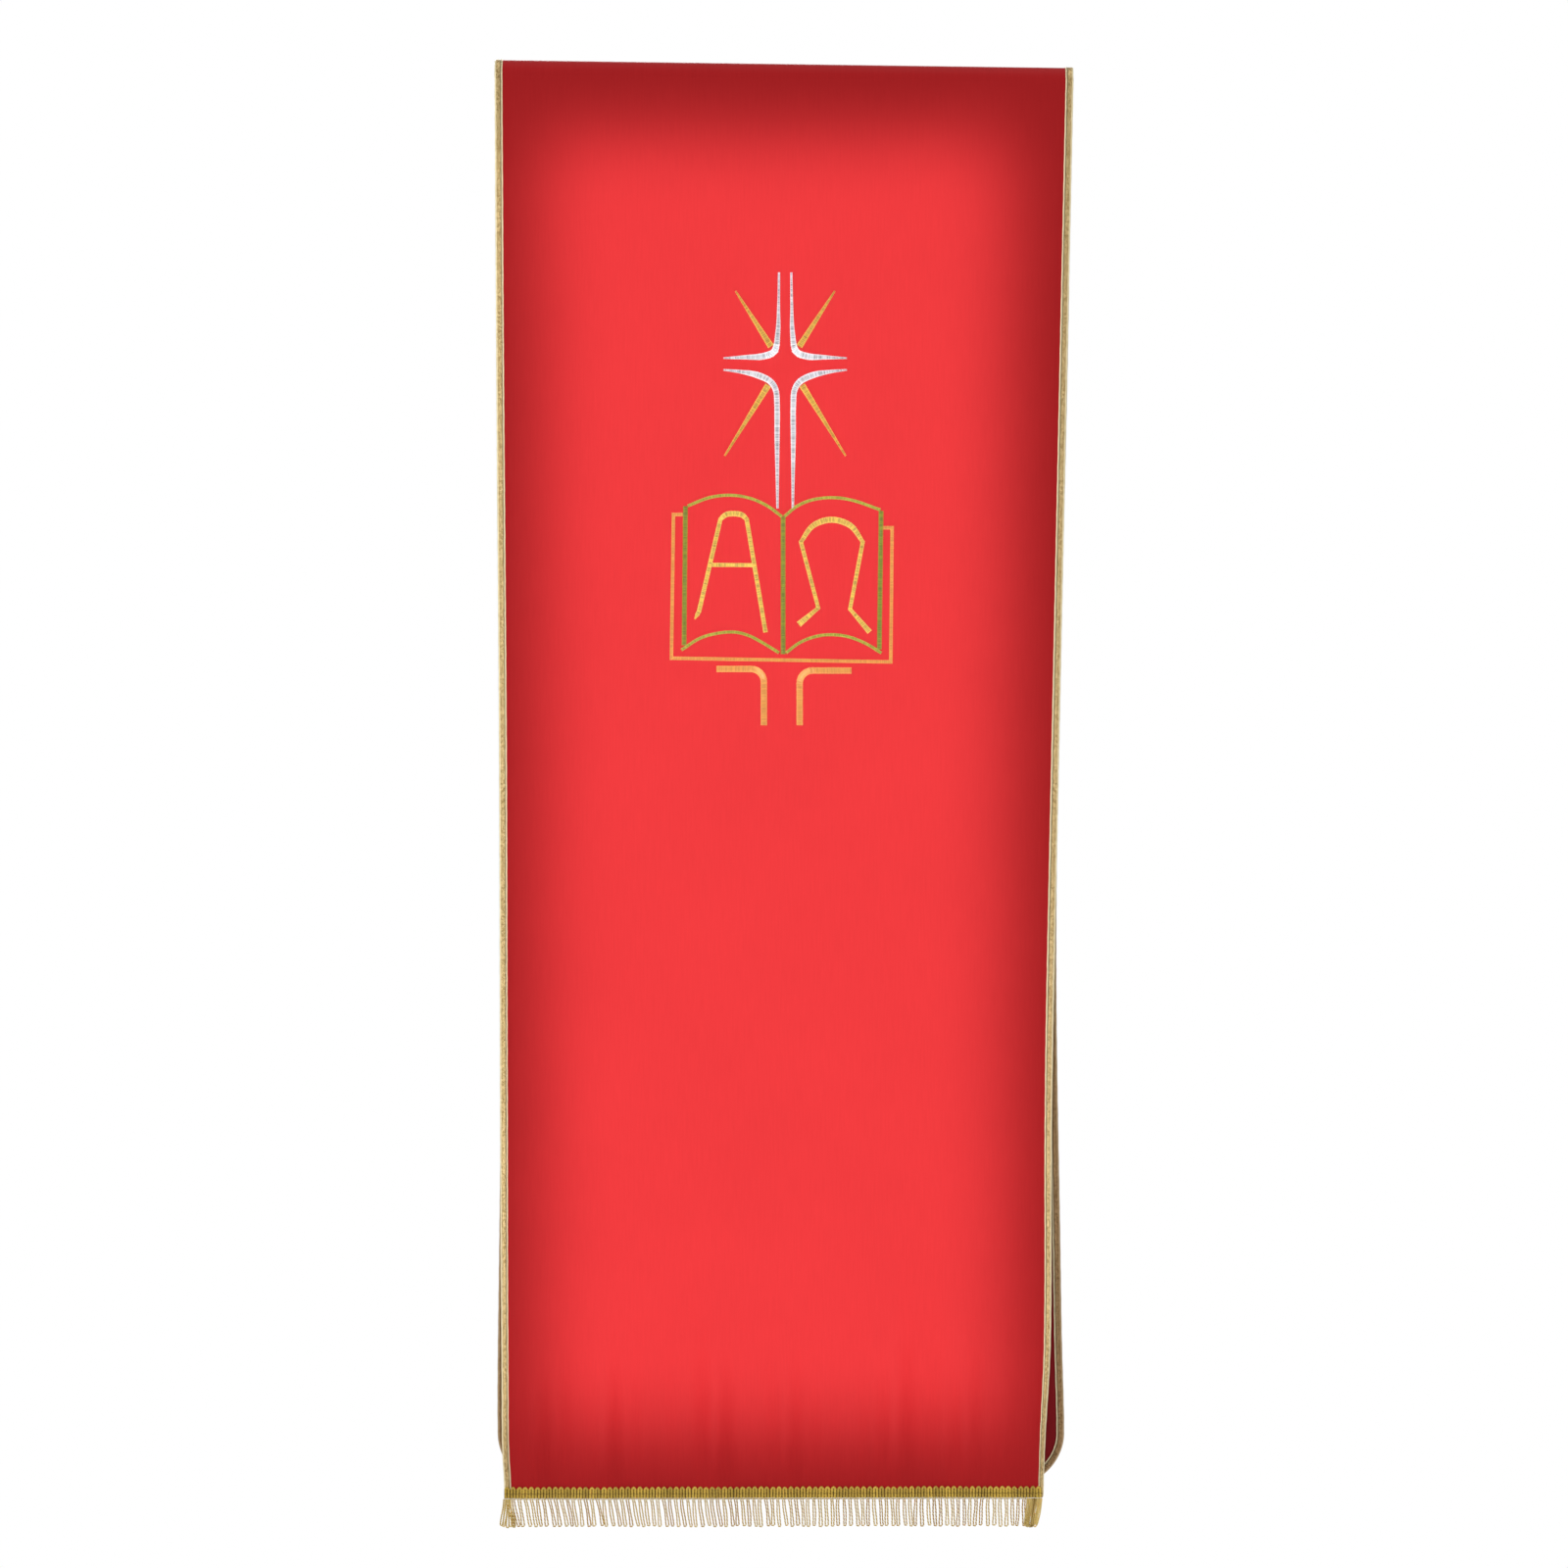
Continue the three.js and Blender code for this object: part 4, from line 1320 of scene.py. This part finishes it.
# Rails of a satin column: its centres and the vector across it, which fans round where the line turns.
def columnRails(line):
    spots = [Vector((x * mm, z * mm)) for x, z, width in line]
    last = len(spots) - 1
    centres, acrosses = [], []
    for i, spot in enumerate(spots):
        width = (line[i][2] - embroidery["threadReach"]) * mm
        before = (spots[max(i, 1)] - spots[max(i, 1) - 1]).normalized()
        after = (spots[min(i, last - 1) + 1] - spots[min(i, last - 1)]).normalized()
        along = (before + after).normalized()
        reach = width / max(along.dot(after), 0.4)
        turn = math.degrees(before.angle(after))
        fan = 0 < i < last and turn > embroidery["sharpTurn"]
        if fan:
            centres.append(spot - before * width * embroidery["fanReach"])
            acrosses.append(Vector((-before.y, before.x)) * width)
        centres.append(spot)
        acrosses.append(Vector((-along.y, along.x)) * reach)
        if fan:
            centres.append(spot + after * width * embroidery["fanReach"])
            acrosses.append(Vector((-after.y, after.x)) * width)
    return centres, acrosses


def satinTree(material):
    tree, start, out = newTree(f"satin_{material.name}", satinSizes)
    curve = addNode(tree, "GeometryNodeMeshToCurve")
    spread = addNode(tree, "GeometryNodeResampleCurve", mode="LENGTH")
    across = addNode(tree, "GeometryNodeInputNamedAttribute", data_type="FLOAT_VECTOR")
    across.inputs["Name"].default_value = "across"
    parts = addNode(tree, "ShaderNodeSeparateXYZ")
    reach = addNode(tree, "ShaderNodeVectorMath", operation="LENGTH")
    turn = addNode(tree, "ShaderNodeCombineXYZ")
    toRotation = addNode(tree, "FunctionNodeEulerToRotation")
    size = addNode(tree, "ShaderNodeCombineXYZ")
    place = addNode(tree, "GeometryNodeInstanceOnPoints")
    seed = start.outputs["Seed"]
    tree.links.new(start.outputs["Geometry"], curve.inputs["Mesh"])
    tree.links.new(curve.outputs[0], spread.inputs["Curve"])
    tree.links.new(start.outputs["Thread Pitch"], spread.inputs["Length"])
    tree.links.new(across.outputs[0], parts.inputs[0])
    tree.links.new(across.outputs[0], reach.inputs[0])
    angle = compute(tree, "ARCTAN2", compute(tree, "MULTIPLY", parts.outputs[2], -1.0), parts.outputs[0])
    tree.links.new(compute(tree, "ADD", angle, randomFloat(tree, -0.035, 0.035, seed, 1)), turn.inputs[1])
    tree.links.new(turn.outputs[0], toRotation.inputs[0])
    wide = compute(tree, "MULTIPLY", reach.outputs["Value"], randomFloat(tree, 0.97, 1.05, seed, 2))
    tree.links.new(wide, size.inputs[0])
    tree.links.new(randomFloat(tree, 0.92, 1.08, seed, 3), size.inputs[1])
    size.inputs[2].default_value = 1.0
    arc = threadArc(tree, start.outputs["Thread Radius"], start.outputs["Dome Height"], 6, 4)
    tree.links.new(spread.outputs[0], place.inputs["Points"])
    tree.links.new(arc, place.inputs["Instance"])
    tree.links.new(toRotation.outputs[0], place.inputs["Rotation"])
    tree.links.new(size.outputs[0], place.inputs["Scale"])
    shadeAndFinish(tree, place.outputs[0], seed, material, out)
    return tree


satinTrees = {}


def layFrontPoint(x, y, z):
    return Vector((x, y - sway(frontFace, x, foldArc + swingZ - z), z))


# A low dome under the stitches, so that nothing shows between them. It has no threadShade, so it takes the
# darker end of its thread's colours: painted shade between the stitches.
def makeUnderlay(name, centres, acrosses, material, surfaceY, height):
    halfSection = [(0.25, 0.72), (0.49, 0.25), (0.5, 0.0)]
    section = [(-share, rise) for share, rise in reversed(halfSection)] + [(0.0, 0.88)] + halfSection
    points = []
    for centre, across in zip(centres, acrosses):
        for share, rise in section:
            spot = centre + across * share
            points.append((spot.x, surfaceY - rise * height, spot.y))
    underlay = meshPiece(name, points, tubeFaces(len(centres), len(section)))
    underlay.data.materials.append(material)
    return underlay


def makeSatin(name, line, material, lift=0.0):
    centres, acrosses = columnRails(line)
    surfaceY = frontLow.y - lift * mm
    track = polyline(
        name,
        [(c.x, surfaceY - 0.08 * mm, c.y) for c in centres],
        [(a.x, 0.0, a.y) for a in acrosses],
    )
    if material.name not in satinTrees:
        satinTrees[material.name] = satinTree(material)
    sizes = {**satinSizes, "Seed": 5 + sum(map(ord, name)) % 97}
    stitches = applyTree(track, satinTrees[material.name], sizes)
    height = satinSizes["Dome Height"]
    underlay = makeUnderlay(f"{name}_underlay", centres, acrosses, material, surfaceY, height)
    column = joinPieces(name, [stitches, underlay])
    for vertex in column.data.vertices:
        vertex.co = layFrontPoint(*vertex.co)
    return column


topLeftPage = smoothLine(evenLine(topLeftPoints, embroidery["pageCurveWidth"]))
topRightPage = smoothLine(evenLine(topRightPoints, embroidery["pageCurveWidth"]))
bottomLeftPage = smoothLine(evenLine(bottomLeftPoints, embroidery["pageCurveWidth"]))
bottomRightPage = smoothLine(evenLine(bottomRightPoints, embroidery["pageCurveWidth"]))
edgeWidth = embroidery["pageEdgeWidth"]
leftEdge = evenLine([(-85.1, -382.5), (-86.3, -502)], edgeWidth)
rightEdge = evenLine([(83.8, -386.5), (82.3, -505.5)], edgeWidth)
spineLine = evenLine([(-0.8, -391.5), (-0.8, -509.6)], edgeWidth)
coverLine = evenLine(coverPoints, embroidery["coverLineWidth"])
upperCross, lowerCross = smoothLine(upperQuarter), smoothLine(lowerQuarter)
alphaLine = [(-77, -479.5, 1.5), (-73.4, -473, 4), *smoothLine(alphaArch), (-16, -490.8, 4)]
omegaLine = [(13, -484, 5.6), (29.6, -470, 3.6), *smoothLine(omegaArch), (57, -471, 3.6), (73.8, -490.6, 5)]
pageLift = 0.25  # the page lines lie over the cross's feet and the cover's outline

# node, line, thread, slot and lift of each satin column
satinColumns = []
for label, side in (("left", -1), ("right", 1)):
    satinColumns += [
        (f"ray_upper_{label}", sideways(upperRay, side), goldThread, "gold_thread", -0.15),
        (f"ray_lower_{label}", sideways(lowerRay, side), goldThread, "gold_thread", -0.15),
        (f"cross_upper_{label}", sideways(upperCross, side), silverThread, "silver_thread", 0.0),
        (f"cross_lower_{label}", sideways(lowerCross, side), silverThread, "silver_thread", 0.0),
    ]
satinColumns += [
    ("book_cover_outline", coverLine, orangeThread, "orange_thread", -0.1),
    ("page_top_left", topLeftPage, paleGreenThread, "green_thread", pageLift),
    ("page_top_right", topRightPage, paleGreenThread, "green_thread", pageLift),
    ("page_bottom_left", bottomLeftPage, paleGreenThread, "green_thread", pageLift),
    ("page_bottom_right", bottomRightPage, paleGreenThread, "green_thread", pageLift),
    ("page_edge_left", leftEdge, greenThread, "green_thread", 0.1),
    ("page_edge_right", rightEdge, greenThread, "green_thread", 0.1),
    ("book_spine", spineLine, greenThread, "green_thread", 0.1),
    ("alpha_bar", evenLine([(-62, -432.8), (-25.5, -433.1)], 3.8), letterThread, "gold_thread", -0.1),
    ("alpha", alphaLine, letterThread, "gold_thread", 0.0),
    ("omega", omegaLine, letterThread, "gold_thread", 0.0),
    ("stand_left", bracketLine(-1, -standArm, -522.7, -17.4, standFoot), orangeThread, "orange_thread", 0.0),
    ("stand_right", bracketLine(1, standArm, -524.1, 13.5, standFoot), orangeThread, "orange_thread", 0.0),
]
satinPieces = []
for node, line, material, slotName, lift in satinColumns:
    column = makeSatin(f"satin_{node}", line, material, lift)
    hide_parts(node)
    satinPieces.append(column)
print("embroidery stitched")


# Non-woven backing inside, trimmed by hand round the motif, with the bobbin threads on it
backing = {
    "thickness": 0.3 * mm,
    "gap": 0.12 * mm,
    "margin": 12.0,
    "wander": 0.7,
    "cutStep": 9.0,
    "bobbinShare": 0.7,  # of a satin column's width
}
bobbinSizes = {"Thread Pitch": 0.8 * mm, "Thread Radius": 0.26 * mm, "Dome Height": 0.0, "Seed": 2}


def backingOutline():
    margin = backing["margin"]
    crossTop, crossHalf = upperQuarter[0][1] + margin, upperQuarter[-1][0] + margin
    bookTop, bookHalf = topLeftPoints[2][1] + margin, -coverPoints[2][0] + margin
    bookBottom, standHalf, foot = coverPoints[3][1] - margin, standArm + margin, standFoot - margin
    right = [
        (crossHalf, crossTop), (crossHalf, bookTop), (bookHalf, bookTop), (bookHalf, bookBottom),
        (standHalf, bookBottom), (standHalf, foot),
    ]
    corners = [(-x, z) for x, z in reversed(right)] + right
    outline = []
    for i, (x, z) in enumerate(corners):
        nextX, nextZ = corners[(i + 1) % len(corners)]
        steps = max(round(math.hypot(nextX - x, nextZ - z) / backing["cutStep"]), 1)
        for k in range(steps):
            share = k / steps
            stray = backing["wander"] * math.sin(7.3 * len(outline)) * (0 < k)
            strayX = stray * (nextZ != z)
            strayZ = stray * (nextX != x)
            outline.append((x + (nextX - x) * share + strayX, z + (nextZ - z) * share + strayZ))
    return outline


def makeBacking():
    outline = backingOutline()
    inY = frontHigh.y + backing["gap"]
    count = len(outline)
    points = []
    for y in (inY, inY + backing["thickness"]):
        points += [layFrontPoint(x * mm, y, z * mm) for x, z in outline]
    faces = [tuple(range(count)), tuple(reversed(range(count, 2 * count)))]
    faces += [(i, (i + 1) % count, (i + 1) % count + count, i + count) for i in range(count)]
    flats = [(p.x, p.z) for p in points]
    piece = meshPiece("nonwoven_backing", points, faces, flats, sharpAngle=30)
    piece.data.materials.append(makeBackingMaterial())
    return piece


def makeBobbinStitches():
    tree = satinTree(bobbinThread)
    rows = []
    backY = frontHigh.y + backing["gap"] + backing["thickness"]
    for node, line, material, slotName, lift in satinColumns:
        centres, acrosses = columnRails(line)
        spots = [(c.x, backY, c.y) for c in centres]
        narrow = backing["bobbinShare"]
        reaches = [(a.x * narrow, 0.0, a.y * narrow) for a in acrosses]
        track = polyline(f"bobbin_{node}", spots, reaches)
        rows.append(applyTree(track, tree, bobbinSizes))
    piece = joinPieces("bobbin_threads", rows)
    for vertex in piece.data.vertices:
        vertex.co = layFrontPoint(*vertex.co)
    return piece


backingPiece = makeBacking()
bobbins = makeBobbinStitches()
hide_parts("embroidery_backing")
print("backing laid")


# Pieces that ride a body are attached to it; the others have their transforms baked in place
for piece in (frontCloth, *frontTapes):
    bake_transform(piece)
for piece in (rearCloth, *rearTapes):
    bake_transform(piece)
for piece in (endTape, endStitches):
    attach(piece, "rear_fall")
for piece in (header, headerStitches, backingPiece, bobbins, *satinPieces):
    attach(piece, "front_fall")
# the loops and tufts hang from the header; their transforms are baked in place
for piece in (fringeCords, *fringeTufts):
    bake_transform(piece)

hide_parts("front_fall_cloth", "top_fold_cloth")
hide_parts("rear_fall_cloth")


def makeFloor():
    work = bmesh.new()
    bmesh.ops.create_circle(work, cap_ends=True, segments=96, radius=studio["floorRadius"])
    mesh = bpy.data.meshes.new("floor")
    for vertex in work.verts:
        vertex.co.z = loopsLow.z - studio["floorDrop"]
    bmesh.ops.recalc_face_normals(work, faces=work.faces)
    work.to_mesh(mesh)
    work.free()
    floor = bpy.data.objects.new("floor", mesh)
    floor.data.materials.append(makeFloorMaterial())
    bpy.context.collection.objects.link(floor)


makeFloor()
print("floor laid")
